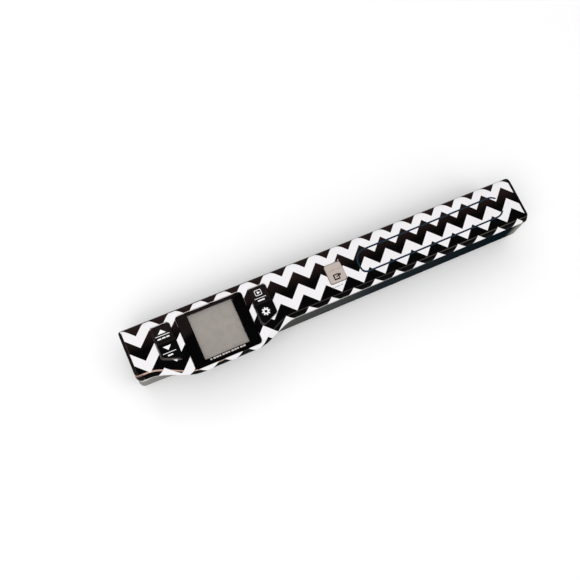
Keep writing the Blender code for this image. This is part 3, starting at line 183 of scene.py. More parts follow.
# Shares of a dash's pitch, and of a cog's tooth pitch
LONG_DASH_SHARE = 0.82
SHORT_DASH_SHARE = 0.55
COG_ROOT_SHARE = 0.32
COG_TIP_SHARE = 0.2

# ---- Colours and grain
INK_WHITE = ((0.79, 0.775, 0.79), (0.86, 0.84, 0.855))
# Plain black ink, and the brown of a painted reflection on the black towards the far edge
BLACK_INK_AND_REFLECTION = ((0.0006, 0.0006, 0.0007), (0.0130, 0.0068, 0.0062))
INK_BLUE = ((0.0032, 0.0155, 0.046), (0.013, 0.025, 0.038))
# Painted highlights on the black along the film's crease: one where the housing swells, and one along the
# rest, brighter towards the right
PAINTED_SWELL_HIGHLIGHT = (0.50, 0.34, 0.29)
PAINTED_CREASE_HIGHLIGHT = ((0.034, 0.030, 0.027), (0.068, 0.060, 0.052))
# Painted reflections and shade on the shell's near wall, by the share of its length
NEAR_WALL_PAINTED_REFLECTIONS = (
    (0.0, (0.24, 0.235, 0.22)), (0.070, (0.19, 0.19, 0.18)), (0.125, (0.055, 0.055, 0.055)),
    (0.36, (0.064, 0.067, 0.063)), (0.47, (0.048, 0.052, 0.052)), (0.60, (0.012, 0.017, 0.020)),
    (0.955, (0.0035, 0.0075, 0.0105)), (0.985, (0.26, 0.27, 0.23)),
)
# Painted glints on the edges of the keys' wells: distance along and across, and reach
PAINTED_GLINTS = ((0.0233, 0.0280, 0.0016), (0.0763, 0.0288, 0.0006))
# The part of its range that noise mostly fills
NOISE_SPAN = (0.3, 0.7)
CLOUD_SIZE = 0.011
METAL_GRAIN = 0.0004
TRACK_PITCH = 1 / 420
ACRYLIC_IOR = 1.49

# ---- Stage
FLOOR_SIDE = 4.0
FLOOR_DROP = 0.00002
WORLD_STRENGTH = 0.76
LAMP_SIDE = 0.60
LAMPS = (
    ("key_lamp", (-0.55, -0.30, 0.75), 2.7),
    ("fill_lamp", (0.60, -0.55, 0.55), 1.0),
    ("rim_lamp", (-0.10, 0.75, 0.60), 1.2),
)
PHOTO_SIDE = 580
FOCAL_PIXELS = 709.09
GATE_WIDTH = 36.0
CAMERA_PLACE = (-0.12643, -0.07265, 0.41996)
CAMERA_RIGHT = (0.9010195, -0.4109220, 0.1389496)
CAMERA_UP = (0.3661112, 0.8921955, 0.2644801)
CAMERA_CLIP = 0.01


# ---- Geometry helpers

def place(along, across, up):
    """World point from the distance along, across and up."""
    return Vector((along - BODY_LENGTH / 2, SWELL_DEPTH / 2 - across, up))


def span(middle, width):
    return middle - width / 2, middle + width / 2


def mix(first, second, share):
    return first + (second - first) * share


def smooth_share(share):
    share = min(1.0, max(0.0, share))
    return share * share * (3 - 2 * share)


def around(middle, radius, angle):
    """A point on a circle, at an angle."""
    return middle[0] + radius * math.cos(angle), middle[1] + radius * math.sin(angle)


def arc(middle, radius, start, end, steps=CORNER_STEPS):
    return [around(middle, radius, math.radians(mix(start, end, i / steps))) for i in range(steps + 1)]


def rounded(corners, radius):
    """A convex outline with each of its corners replaced by an arc."""
    points = []
    count = len(corners)
    for i, corner in enumerate(corners):
        here = Vector(corner)
        back = (Vector(corners[i - 1]) - here).normalized()
        ahead = (Vector(corners[(i + 1) % count]) - here).normalized()
        half = back.angle(ahead) / 2
        middle = here + (back + ahead).normalized() * radius / math.sin(half)
        start = here + back * radius / math.tan(half) - middle
        end = here + ahead * radius / math.tan(half) - middle
        turn = start.angle_signed(end)
        for k in range(OUTLINE_CORNER_STEPS + 1):
            angle = math.atan2(start.y, start.x) - turn * k / OUTLINE_CORNER_STEPS
            points.append(around(middle, radius, angle))
    return points


def grown(corners, margin):
    """A convex outline moved outwards by a margin, or inwards by a negative one."""
    count = len(corners)
    middle = sum((Vector(corner) for corner in corners), Vector((0, 0))) / count
    lines = []
    for i in range(count):
        start = Vector(corners[i])
        run = (Vector(corners[(i + 1) % count]) - start).normalized()
        out = Vector((run.y, -run.x))
        if out.dot(start - middle) < 0:
            out = -out
        lines.append((start + out * margin, run))
    points = []
    for i in range(count):
        first, run = lines[i - 1]
        second, other = lines[i]
        across = run.x * other.y - run.y * other.x
        gap = second - first
        points.append(tuple(first + run * ((gap.x * other.y - gap.y * other.x) / across)))
    return points


def rectangle(along, across):
    return [(along[0], across[0]), (along[1], across[0]), (along[1], across[1]), (along[0], across[1])]


def added(name, data):
    """A new object in the scene."""
    item = bpy.data.objects.new(name, data)
    bpy.context.scene.collection.objects.link(item)
    return item


def new_object(name, work):
    """An object from an edited mesh, with its faces turned outwards."""
    bmesh.ops.recalc_face_normals(work, faces=work.faces)
    mesh = bpy.data.meshes.new(name)
    work.to_mesh(mesh)
    work.free()
    return added(name, mesh)


def skin(name, rings, marked=0, marked_points=0):
    """A closed solid through a stack of rings that have the same number of points.

    The first points of the last marked rings get the second material.
    """
    work = bmesh.new()
    loops = [[work.verts.new(point) for point in ring] for ring in rings]
    count = len(loops[0])
    for level, (lower, upper) in enumerate(zip(loops, loops[1:])):
        for i in range(count):
            k = (i + 1) % count
            face = work.faces.new((lower[i], lower[k], upper[k], upper[i]))
            if level >= len(loops) - 1 - marked and i < marked_points:
                face.material_index = 1
    work.faces.new(loops[-1])
    work.faces.new(list(reversed(loops[0])))
    return new_object(name, work)


def stack(name, levels):
    """A closed solid through (height, outline) levels."""
    return skin(name, [[place(along, across, up) for along, across in outline] for up, outline in levels])


def block(name, along, across, up):
    return stack(name, [(height, rectangle(along, across)) for height in up])


def eased_top(corners, radius, under, over, ease, steps=5):
    """Levels of an upright plate whose top edge is rounded over."""
    levels = [(under, rounded(corners, radius))]
    for i in range(steps + 1):
        angle = math.pi / 2 * i / steps
        inset = ease * (1 - math.cos(angle))
        outline = rounded(grown(corners, -inset), max(radius - inset, radius / 3))
        levels.append((over - ease + ease * math.sin(angle), outline))
    return levels


def well_cutter(name, corners, radius, under):
    """A cutter for a well, which also breaks the well's top edge."""
    corners = grown(corners, PIECE_GAP)
    wide = rounded(grown(corners, WELL_EASE), radius + WELL_EASE)
    straight = rounded(corners, radius)
    return stack(name, [(under, straight), (TOP - WELL_EASE, straight), (TOP + BORE_GAP, wide),
                        (TOP + OVERRUN, wide)])


def through_top(name, outline):
    """A cutter through the top."""
    return stack(name, [(up, outline) for up in (CEILING - OVERRUN, TOP + OVERRUN)])


def turned(name, profile, middle, steps=ROUND_STEPS):
    """A closed profile of (radius, distance) points, turned about a line along the wand."""
    work = bmesh.new()
    rings = []
    for i in range(steps):
        angle = 2 * math.pi * i / steps
        rings.append([work.verts.new(middle + Vector((along, *around((0, 0), radius, angle))))
                      for radius, along in profile])
    count = len(profile)
    for here, after in zip(rings, rings[1:] + rings[:1]):
        for i in range(count):
            k = (i + 1) % count
            work.faces.new((here[i], here[k], after[k], after[i]))
    return new_object(name, work)


def baked(item):
    """Takes an object's modifiers into its own mesh."""
    bpy.context.view_layer.update()
    graph = bpy.context.evaluated_depsgraph_get()
    mesh = bpy.data.meshes.new_from_object(item.evaluated_get(graph))
    item.modifiers.clear()
    item.data = mesh


def combine(item, tool, operation):
    """Cuts a tool from a piece, or joins the two, and removes the tool."""
    step = item.modifiers.new(tool.name, "BOOLEAN")
    step.operation = operation
    step.solver = "EXACT"
    step.object = tool
    baked(item)
    bpy.data.objects.remove(tool, do_unlink=True)


def cut(item, tool):
    combine(item, tool, "DIFFERENCE")


def eased_edges(item, width, angle, segments):
    """Rounds an object's edges that are sharper than an angle."""
    step = item.modifiers.new("eased", "BEVEL")
    step.width = width
    step.segments = segments
    step.limit_method = "ANGLE"
    step.angle_limit = angle
    baked(item)


def shaded(item):
    """Smooth shading that keeps large faces flat and real edges sharp."""
    item.data.shade_smooth()
    item.data.set_sharp_from_angle(angle=SMOOTH_ANGLE)
    step = item.modifiers.new("even", "WEIGHTED_NORMAL")
    step.keep_sharp = True
    step.mode = "FACE_AREA"
    baked(item)


def fit(item, surface, body, nodes, slot):
    """Shades a piece, gives it a finish unless it has its own, and lets it ride in place of CAD nodes."""
    shaded(item)
    item.data.name = item.name
    if surface is not None:
        item.data.materials.clear()
        for face in item.data.polygons:
            face.material_index = 0
        item.data.materials.append(surface)
    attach(item, body)
    if nodes:
        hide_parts(*nodes)


def copied(node, name):
    """A welded copy of a CAD node's mesh, which can be shaded smoothly."""
    work = bmesh.new()
    work.from_mesh(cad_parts[node].data)
    bmesh.ops.remove_doubles(work, verts=work.verts, dist=WELD_REACH)
    bmesh.ops.dissolve_limit(work, angle_limit=FLAT_ANGLE, verts=work.verts, edges=work.edges)
    return new_object(name, work)


# ---- Materials

class Nodes:
    """A node tree that is being put together."""

    def __init__(self, tree):
        self.tree = tree

    def new(self, kind):
        return self.tree.nodes.new("ShaderNode" + kind)

    def join(self, value, socket):
        """Links a socket's source, or sets its plain value."""
        if isinstance(value, bpy.types.NodeSocket):
            self.tree.links.new(value, socket)
        elif isinstance(value, tuple):
            socket.default_value = (*value, 1.0) if len(socket.default_value) == 4 else value
        else:
            socket.default_value = value

    def math(self, operation, first, second=0.0):
        made = self.new("Math")
        made.operation = operation
        for socket, value in zip(made.inputs, (first, second)):
            self.join(value, socket)
        return made.outputs[0]

    def plus(self, first, second):
        return self.math("ADD", first, second)

    def minus(self, first, second):
        return self.math("SUBTRACT", first, second)

    def times(self, first, second):
        return self.math("MULTIPLY", first, second)

    def larger(self, first, second):
        return self.math("MAXIMUM", first, second)


class Finish(Nodes):
    """A material that is being put together from nodes."""

    def __init__(self, name, roughness=0.4, specular=0.5, metallic=0.0):
        self.made = bpy.data.materials.new(name)
        self.made.use_nodes = True
        super().__init__(self.made.node_tree)
        self.shader = self.tree.nodes["Principled BSDF"]
        self.put("Roughness", roughness)
        self.put("Metallic", metallic)
        self.put("Specular IOR Level", specular)
        places = self.new("TexCoord").outputs
        self.points = places["Object"]
        self.normals = places["Normal"]
        self.box_shares = places["Generated"]

    def put(self, socket, value):
        self.join(value, self.shader.inputs[socket])

    def axes(self, vector):
        """A vector's three parts."""
        made = self.new("SeparateXYZ")
        self.join(vector, made.inputs[0])
        return made.outputs[:]

    def noise(self, size, detail=3.0, stretch=(1.0, 1.0, 1.0)):
        """Cloudy noise from 0 to 1 whose lumps are about this size, in metres."""
        turn = self.new("Mapping")
        self.join(self.points, turn.inputs["Vector"])
        turn.inputs["Scale"].default_value = stretch
        made = self.new("TexNoise")
        self.join(turn.outputs[0], made.inputs["Vector"])
        made.inputs["Scale"].default_value = 1 / size
        made.inputs["Detail"].default_value = detail
        return made.outputs[0]

    def cells(self, size, metric="EUCLIDEAN"):
        """Distance to the middle of the nearest cell, where cells are about this size in metres."""
        made = self.new("TexVoronoi")
        made.distance = metric
        self.join(self.points, made.inputs["Vector"])
        made.inputs["Scale"].default_value = 1 / size
        return made.outputs["Distance"]

    def blend(self, share, first, second):
        """One colour turning into another."""
        made = self.new("Mix")
        made.data_type = "RGBA"
        self.join(share, made.inputs[0])
        self.join(first, made.inputs[6])
        self.join(second, made.inputs[7])
        return made.outputs[2]

    def ramp(self, value, low, high, start=0.0, end=1.0):
        """A value mapped from one range to another and held there."""
        made = self.new("MapRange")
        for socket, number in zip(made.inputs, (value, low, high, start, end)):
            self.join(number, socket)
        return made.outputs[0]

    def fall(self, value, low, high):
        """1 below a range, 0 above it, and between them within it."""
        return self.ramp(value, low, high, 1.0, 0.0)

    def ramps(self, value, pieces):
        """The sum of several ramps of one value."""
        total = 0.0
        for piece in pieces:
            total = self.plus(total, self.ramp(value, *piece))
        return total

    def paint(self, share, first, second):
        """The base colour, blended from two."""
        self.put("Base Color", self.blend(share, first, second))

    def gloss(self, size, low, high):
        """Roughness that drifts between two values in patches of this size."""
        self.put("Roughness", self.ramp(self.noise(size), *NOISE_SPAN, low, high))

    def bump(self, height, depth):
        made = self.new("Bump")
        made.inputs["Distance"].default_value = depth
        self.join(height, made.inputs["Height"])
        self.put("Normal", made.outputs[0])


def shade_of(colour, factor):
    return tuple(min(1.0, channel * factor) for channel in colour)


def moulded(name, colour, roughness, grain, depth, specular=0.5, uneven=0.12):
    """Moulded plastic: slightly uneven in colour and gloss, with a fine grain."""
    made = Finish(name, roughness, specular)
    made.paint(made.noise(CLOUD_SIZE, 4.0), shade_of(colour, 1 - uneven), shade_of(colour, 1 + uneven))
    made.gloss(0.004, roughness * 0.88, roughness * 1.12)
    made.bump(made.noise(grain, 2.0), depth)
    return made.made


def metal(name, colour, roughness, stretch=(0.12, 1.0, 1.0)):
    """Drawn or ground metal with fine marks along it."""
    made = Finish(name, roughness, 0.5, 1.0)
    marks = made.noise(METAL_GRAIN, 3.0, stretch)
    made.paint(marks, shade_of(colour, 0.88), shade_of(colour, 1.1))
    made.put("Roughness", made.ramp(marks, 0.2, 0.8, roughness * 0.8, roughness * 1.3))
    made.bump(marks, 0.000004)
    return made.made


def clear_acrylic(name, tint, roughness=0.0):
    made = Finish(name, roughness)
    made.paint(made.noise(0.02), tint, shade_of(tint, 1.03))
    made.put("Transmission Weight", 1.0)
    made.put("IOR", ACRYLIC_IOR)
    return made.made


def rubber(name, colour):
    made = Finish(name, 0.82, 0.3)
    made.paint(made.noise(0.0015), shade_of(colour, 0.75), shade_of(colour, 1.35))
    made.gloss(0.0008, 0.72, 0.9)
    made.bump(made.cells(0.00035), 0.00003)
    return made.made


def circuit_board():
    """Green solder mask over faint copper tracks."""
    made = Finish("circuit_board", 0.38)
    tracks = made.ramp(made.cells(TRACK_PITCH, "CHEBYCHEV"), 0.25, 0.32)
    made.paint(tracks, (0.016, 0.11, 0.045), (0.026, 0.17, 0.07))
    made.bump(tracks, 0.00003)
    return made.made


def film_black(made, along, across, lower):
    """1 where the film is black, in its chevron stripes and its far border, and 0 where it is white."""
    band = made.larger(made.minus(across, BAND_START), 0.0)
    lean = made.times(band, made.ramp(along, *BAND_LEAN_ALONG, 0.0, BAND_LEAN))
    moved = made.minus(along, made.plus(made.ramps(along, STRIPES_ALONG), lean))
    zigzag = made.math("PINGPONG", made.minus(moved, STRIPE_PEAK), STRIPE_HALF_PERIOD)
    depth = made.minus(made.minus(lower, zigzag), STRIPE_FAR)
    stripes = made.math("PINGPONG", made.minus(depth, STRIPE_WIDTH / 2), STRIPE_WIDTH)
    limit = STRIPE_WIDTH / 2 + BLACK_EXTRA
    dark = made.fall(stripes, limit - STRIPE_BLUR, limit + STRIPE_BLUR)
    ends = made.minus(across, made.ramp(along, *FILM_END_ALONG, FILM_END_RISE, 0.0))
    border = made.fall(ends, FILM_END - STRIPE_BLUR, FILM_END + STRIPE_BLUR)
    return made.larger(dark, border)


def capsule_line(made, along, lower):
    """1 on the thin capsule line, which is squarer at its near left and open at its right end."""
    middle_along, middle_across = CAPSULE_MIDDLE
    side = made.math("ABSOLUTE", made.minus(along, middle_along))
    side = made.larger(made.minus(side, CAPSULE_HALF_RUN), 0.0)
    down = made.minus(lower, middle_across)
    left = made.math("LESS_THAN", along, middle_along)
    near_left = made.times(made.math("GREATER_THAN", down, 0.0), left)
    power = made.plus(made.times(near_left, CAPSULE_CORNER_POWER - CIRCLE_POWER), CIRCLE_POWER)
    down_power = made.math("POWER", made.math("ABSOLUTE", down), power)
    reach = made.plus(made.math("POWER", side, power), down_power)
    reach = made.math("POWER", reach, made.math("DIVIDE", 1.0, power))
    off_line = made.math("ABSOLUTE", made.minus(reach, CAPSULE_RADIUS))
    line = made.fall(off_line, CAPSULE_LINE - LINE_BLUR, CAPSULE_LINE + LINE_BLUR)
    opened = made.math("GREATER_THAN", along, middle_along + CAPSULE_HALF_RUN)
    opened = made.times(opened, made.math("GREATER_THAN", down, CAPSULE_OPEN[0]))
    opened = made.times(opened, made.math("LESS_THAN", down, CAPSULE_OPEN[1]))
    return made.times(line, made.minus(1.0, opened))


def patterned_film(name, edge):
    """Glossy white film printed with black chevron stripes and a thin blue capsule line.

    On the crease the black has a painted highlight, most of it where the housing swells.
    """
    made = Finish(name, 0.16, 0.02)
    unrolled = made.new("UVMap")
    unrolled.uv_map = "print"
    along, across, _ = made.axes(unrolled.outputs[0])
    lower = made.minus(across, made.ramps(along, STRIPES_ACROSS))
    dark = film_black(made, along, across, lower)
    cloud = made.noise(0.018)
    # Painted brown reflection on the black towards the far edge
    warm = made.fall(made.plus(across, made.times(cloud, 3.0)), *BROWN_REFLECTION_ACROSS)
    black = made.blend(warm, *BLACK_INK_AND_REFLECTION)
    if edge:
        # Painted highlight on the black along the crease
        plain = made.blend(made.ramp(along, *CREASE_PALER_ALONG), *PAINTED_CREASE_HIGHLIGHT)
        crease_highlight = made.blend(made.ramp(along, *SWELL_LIGHT_ALONG), PAINTED_SWELL_HIGHLIGHT, plain)
        black = made.blend(made.ramp(across, *CREASE_ACROSS), black, crease_highlight)
    inked = made.blend(dark, made.blend(cloud, *INK_WHITE), black)
    made.paint(capsule_line(made, along, lower), inked, made.blend(dark, *INK_BLUE))
    made.gloss(0.006, 0.13, 0.19)
    made.bump(made.noise(0.0022, 2.0), 0.000006)
    return made.made


def painted_trim_crease_highlight():
    """Painted highlight where the gloss trims' crease would catch light: strongly at the left end, faintly at
    the right.
    """
    made = Finish("trim_crease_highlight", 0.25, 0.05)
    along, _, _ = made.axes(made.points)
    tone = made.blend(made.ramp(along, -0.01, 0.01), (0.42, 0.28, 0.24), (0.16, 0.14, 0.12))
    made.paint(made.ramp(made.noise(0.001), *NOISE_SPAN, 0.0, 0.3), tone, (0.05, 0.04, 0.035))
    return made.made


def trim_gloss():
    """Black gloss, with a painted brown reflection at the left end."""
    made = Finish("black_gloss", 0.09, 0.03)
    along, _, _ = made.axes(made.points)
    black = made.blend(made.noise(CLOUD_SIZE, 4.0), (0.0016, 0.0013, 0.0014), (0.0028, 0.0023, 0.0024))
    # Painted brown reflection on the left trim
    made.paint(made.fall(along, -0.02, 0.02), black, (0.0082, 0.0050, 0.0050))
    made.gloss(0.004, 0.08, 0.10)
    made.bump(made.noise(0.004, 2.0), 0.000003)
    return made.made


def painted_edge_highlight(made):
    """How much painted highlight a key's edge gets: most at the near end of the left key."""
    along, far, _ = made.axes(made.points)
    right = made.ramp(along, -0.080, -0.075)
    left_share = made.ramp(far, -0.004, 0.004, 1.0, 0.45)
    right_share = made.ramp(far, -0.006, 0.003, 0.7, 0.0)
    return made.plus(made.times(made.minus(1.0, right), left_share), made.times(right, right_share))


def key_plastic():
    """Black keys with a painted brown reflection away from the user, a painted highlight along the rocker's
    ridge, and painted highlights on their near and left edges.
    """
    made = Finish("key_black", 0.14, 0.03)
    _, far, _ = made.axes(made.points)
    # Painted brown reflection on the keys' far part
    tone = made.blend(made.ramp(far, 0.0030, 0.0062), (0.0008, 0.0007, 0.0008), (0.0115, 0.0070, 0.0072))
    tone = made.blend(made.ramp(made.noise(0.003), 0.35, 0.75, 0.0, 0.25), tone, (0.0035, 0.0030, 0.0030))
    # Painted highlight along the rocker's middle ridge
    off_ridge = made.math("ABSOLUTE", made.minus(far, SWELL_DEPTH / 2 - KEY_MIDDLE))
    tone = made.blend(made.ramp(off_ridge, 0.00008, 0.00022, 0.4, 0.0), tone, (0.045, 0.038, 0.036))
    # Painted highlights on the near and left edges, by which way the surface faces
    aside, back, _ = made.axes(made.normals)
    lit = made.plus(made.times(aside, -0.75), made.times(back, -0.65))
    made.paint(made.times(made.ramp(lit, 0.40, 0.75), painted_edge_highlight(made)), tone, (0.24, 0.205, 0.20))
    made.gloss(0.004, 0.12, 0.17)
    made.bump(made.noise(0.003, 2.0), 0.000004)
    return made.made


def well_edge():
    """The film's cut edge round a key: pale at the far side, with a painted highlight at the near left and one
    painted glint each.
    """
    made = Finish("film_edge", 0.3, 0.1)
    aside, back, _ = made.axes(made.box_shares)
    # Painted highlight at the near left of the well's edge
    share = made.plus(made.times(aside, 0.4), made.times(back, 0.9))
    share = made.plus(share, made.times(made.noise(0.002), 0.12))
    share = made.times(made.fall(share, 0.45, 0.9), painted_edge_highlight(made))
    tone = made.blend(share, (0.007, 0.006, 0.006), (0.13, 0.112, 0.108))
    far_side = made.times(made.ramp(aside, 0.12, 0.16), made.fall(aside, 0.84, 0.88))
    far_side = made.times(made.ramp(back, 0.975, 0.985), far_side)
    tone = made.blend(far_side, tone, (0.50, 0.46, 0.44))
    # Painted glints, one on each well's edge
    painted_glints = 0.0
    for along, across, reach in PAINTED_GLINTS:
        away = made.new("VectorMath")
        away.operation = "DISTANCE"
        made.join(made.points, away.inputs[0])
        away.inputs[1].default_value = place(along, across, TOP)
        painted_glints = made.larger(painted_glints, made.fall(away.outputs["Value"], reach * 0.6, reach))
    made.paint(painted_glints, tone, (0.80, 0.74, 0.71))
    return made.made


def window_border():
    """Black paint behind clear acrylic, with a painted brown reflection at its far left."""
    made = Finish("window_black", 0.05, 0.03)
    cloud = made.noise(0.02)
    aside, far, _ = made.axes(made.points)
    _, _, rise = made.axes(made.normals)
    made.put("Specular IOR Level", made.ramp(rise, 0.9, 0.99, 0.0, 0.012))
    slope = made.minus(far, made.times(aside, 0.35))
    # Painted brown reflection at the far left
    warm = made.ramp(made.plus(slope, made.times(cloud, 0.003)), 0.0355, 0.0385)
    paint = made.blend(cloud, (0.0006, 0.0006, 0.0006), (0.0012, 0.0011, 0.0011))
    made.paint(warm, paint, (0.0105, 0.0065, 0.0070))
    made.gloss(0.005, 0.035, 0.065)
    made.bump(made.noise(0.006, 1.0), 0.000003)
    return made.made


def screen_glass():
    """Unlit display: an even warm grey, a little lighter at its far side."""
    made = Finish("screen", 0.28, 0.4)
    _, far, _ = made.axes(made.points)
    drift = made.plus(made.ramp(far, -0.016, 0.014, 0.0, 0.8), made.times(made.noise(0.012), 0.2))
    made.paint(drift, (0.402, 0.354, 0.314), (0.416, 0.368, 0.328))
    made.gloss(0.004, 0.25, 0.31)
    return made.made


def shell_plastic():
    """Dark grey moulded plastic; its near wall carries painted reflections and shade, lighter at both ends,
    and painted highlights lie on its rim towards the left and on its near-left corner.
    """
    made = Finish("grey_shell", 0.42, 0.25)
    along, back, up = made.axes(made.points)
    _, _, rise = made.axes(made.normals)
    grey = made.blend(made.noise(CLOUD_SIZE, 4.0), (0.021, 0.023, 0.025), (0.028, 0.030, 0.032))
    # Painted reflections and shade along the near wall
    near_wall_reflections = made.new("ValToRGB")
    made.join(made.ramp(along, -BODY_LENGTH / 2, BODY_LENGTH / 2), near_wall_reflections.inputs[0])
    band = near_wall_reflections.color_ramp
    band.interpolation = "EASE"
    for share, tone in NEAR_WALL_PAINTED_REFLECTIONS[2:]:
        band.elements.new(share)
    for stop, (share, tone) in zip(band.elements, NEAR_WALL_PAINTED_REFLECTIONS):
        stop.position = share
        stop.color = (*tone, 1.0)
    near = made.times(made.fall(back, -0.0090, -0.0070), made.ramp(rise, -0.90, -0.60))
    made.put("Specular IOR Level", made.ramp(near, 0.0, 1.0, 0.25, 0.0))
    tone = made.blend(near, grey, near_wall_reflections.outputs[0])
    # Painted highlight on the rim's top towards the left end, and on the near wall's left corner
    edge = made.times(made.ramp(rise, 0.55, 0.8), made.ramp(up, SPLIT - 0.0012, SPLIT - 0.0007))
    edge = made.times(edge, made.fall(along, 0.0, 0.06))
    corner = made.times(made.fall(along, -0.1245, -0.1225), made.ramp(up, 0.0205, 0.0220))
    made.paint(made.larger(edge, made.times(corner, near)), tone, (0.62, 0.60, 0.56))
    made.gloss(0.004, 0.37, 0.47)
    made.bump(made.noise(0.00035, 2.0), 0.000012)
    return made.made


FILM = patterned_film("patterned_film", False)
CREASE_FILM = patterned_film("creased_film", True)
SHELL = shell_plastic()
GLOSS = trim_gloss()
TRIM_CREASE_HIGHLIGHT = painted_trim_crease_highlight()
KEY_BLACK = key_plastic()
WELL_EDGE = well_edge()
MARK_WHITE = moulded("mark_white", (0.84, 0.84, 0.85), 0.35, 0.0006, 0.000003, 0.4, 0.04)
MARK_DARK = moulded("mark_dark", (0.007, 0.005, 0.0045), 0.4, 0.0006, 0.000003, 0.1, 0.2)
MARK_GREY = moulded("mark_grey", (0.50, 0.46, 0.44), 0.35, 0.0006, 0.000003, 0.2, 0.25)
MARK_DIM = moulded("mark_dim", (0.24, 0.24, 0.28), 0.35, 0.0006, 0.000003, 0.2, 0.15)
MARK_TAUPE = moulded("mark_taupe", (0.365, 0.300, 0.265), 0.36, 0.0006, 0.000003, 0.2, 0.15)
WINDOW_BLACK = window_border()
CLEAR = clear_acrylic("window_clear", (0.97, 0.97, 0.97))
SCREEN = screen_glass()
TAUPE = moulded("button_taupe", (0.475, 0.405, 0.365), 0.36, 0.0009, 0.000006, 0.45, 0.05)
RUBBER = rubber("roller_rubber", (0.022, 0.022, 0.023))
GLASS = clear_acrylic("scan_glass", (0.86, 0.92, 0.90))
TIN = metal("tin", (0.60, 0.60, 0.58), 0.32)
STEEL = metal("steel", (0.52, 0.52, 0.54), 0.24)
BRONZE = metal("bronze", (0.52, 0.33, 0.14), 0.4, (1.0, 1.0, 1.0))
BOARD = circuit_board()
COMPONENT = moulded("component_black", (0.014, 0.014, 0.015), 0.5, 0.0004, 0.00001)
SENSOR = moulded("sensor_black", (0.016, 0.016, 0.018), 0.55, 0.0003, 0.00002)
WHITE_PLASTIC = moulded("white_plastic", (0.72, 0.71, 0.67), 0.42, 0.0005, 0.00001, 0.5, 0.05)
WRAP = moulded("battery_wrap", (0.045, 0.15, 0.38), 0.28, 0.006, 0.00004, 0.5, 0.15)
RIBBON = moulded("ribbon_film", (0.55, 0.31, 0.07), 0.35, 0.0008, 0.000008, 0.5, 0.12)
LIGHT_BAR = clear_acrylic("light_bar", (0.93, 0.95, 0.95), 0.08)


# ---- Housing

class Level:
    """One horizontal outline of the top cover."""

    def __init__(self, up, far, near, end, corners, lean):
        self.up = up
        self.far = far
        self.near = near
        self.end = end
        self.left_corner, self.right_corner, self.far_corner = corners
        self.lean = lean

    def near_at(self, along):
        rise = (along - SWELL_RISE[0]) / (SWELL_RISE[1] - SWELL_RISE[0])
        if rise < 1:
            return mix(self.near[0], self.near[1], smooth_share(rise))
        start = SWELL_FALL[0] + self.lean
        fall = (along - start) / (SWELL_FALL[1] - SWELL_FALL[0])
        return mix(self.near[1], self.near[2], smooth_share(fall))

    def ring(self):
        left = self.end
        right = BODY_LENGTH - self.end
        radius = self.left_corner
        points = arc((left + radius, self.near[0] - radius), radius, 180, 90)
        for ramp, lean in ((SWELL_RISE, 0.0), (SWELL_FALL, self.lean)):
            for i in range(RAMP_STEPS + 1):
                along = mix(*ramp, i / RAMP_STEPS) + lean
                points.append((along, self.near_at(along)))
        radius = self.right_corner
        points += arc((right - radius, self.near[2] - radius), radius, 90, 0)
        radius = self.far_corner
        points += arc((right - radius, self.far + radius), radius, 0, -90)
        points += arc((left + radius, self.far + radius), radius, -90, -180)
        return [place(along, across, self.up) for along, across in points]


def cover_level(angle, wall, lower=0.0, far_power=1.0):
    """The top cover's outline at an angle round its edge, from the split at 0 up to the top.

    A power under 1 makes its far edge squarer.
    """
    reach = COVER_HEIGHT - wall
    band = 1 - math.sin(angle) ** BAND_POWER
    near = [mix(crease, split, band) - wall for crease, split in zip(CREASE, SPLIT_NEAR)]
    up = SPLIT + lower + reach * math.sin(angle)
    far = COVER_HEIGHT - reach * max(0.0, math.cos(angle)) ** far_power
    corners = [mix(crease, split, band) for crease, split in zip(CREASE_CORNERS, SPLIT_CORNERS)]
    corners = [max(corner - wall, LEAST_CORNER) for corner in (*corners, FAR_CORNER)]
    end = wall + TRIM_THICKNESS + PIECE_GAP if wall else 0
    return Level(up, far, near, end, corners, SWELL_FALL_LEAN * band)


def cover_room():
    """A cutter for the room inside the top cover."""
    levels = [cover_level(0, COVER_WALL, -OVERRUN)] + [cover_level(angle, COVER_WALL) for angle in BAND_ANGLES]
    return skin("cover_room", [level.ring() for level in levels])


def cover_skin(name, surface, crease_surface, far_power=1.0):
    """The top cover's outside, with its crease eased."""
    low, high = [math.asin(1 - share * CREASE_EASE / COVER_HEIGHT) for share in CREASE_EASE_SHARES]
    angles = [angle for angle in BAND_ANGLES if angle < low - LEAST_BAND_STEP] + [low, high, math.pi / 2]
    levels = [cover_level(angle, 0, 0.0, far_power) for angle in angles]
    eased, top = levels[-2:]
    eased.near = top.near
    top.near = [near - ease for near, ease in zip(top.near, CREASE_EASES)]
    near_points = 2 * (CORNER_STEPS + 1 + RAMP_STEPS + 1) - 1
    made = skin(name, [level.ring() for level in levels], 2, near_points)
    made.data.materials.append(surface)
    made.data.materials.append(crease_surface)
    return made


def band_run(along, low):
    """How far the near edge's band has run from the crease down to an angle, along its curve."""
    crease = cover_level(math.pi / 2, 0)
    split = cover_level(0, 0)
    wide = split.near_at(along) - crease.near_at(along)
    points = []
    for i in range(BAND_RUN_STEPS + 1):
        angle = mix(math.pi / 2, low, i / BAND_RUN_STEPS)
        points.append((wide * (1 - math.sin(angle) ** BAND_POWER), COVER_HEIGHT * math.sin(angle)))
    return crease.near_at(along) + sum(math.dist(*ends) for ends in zip(points, points[1:]))


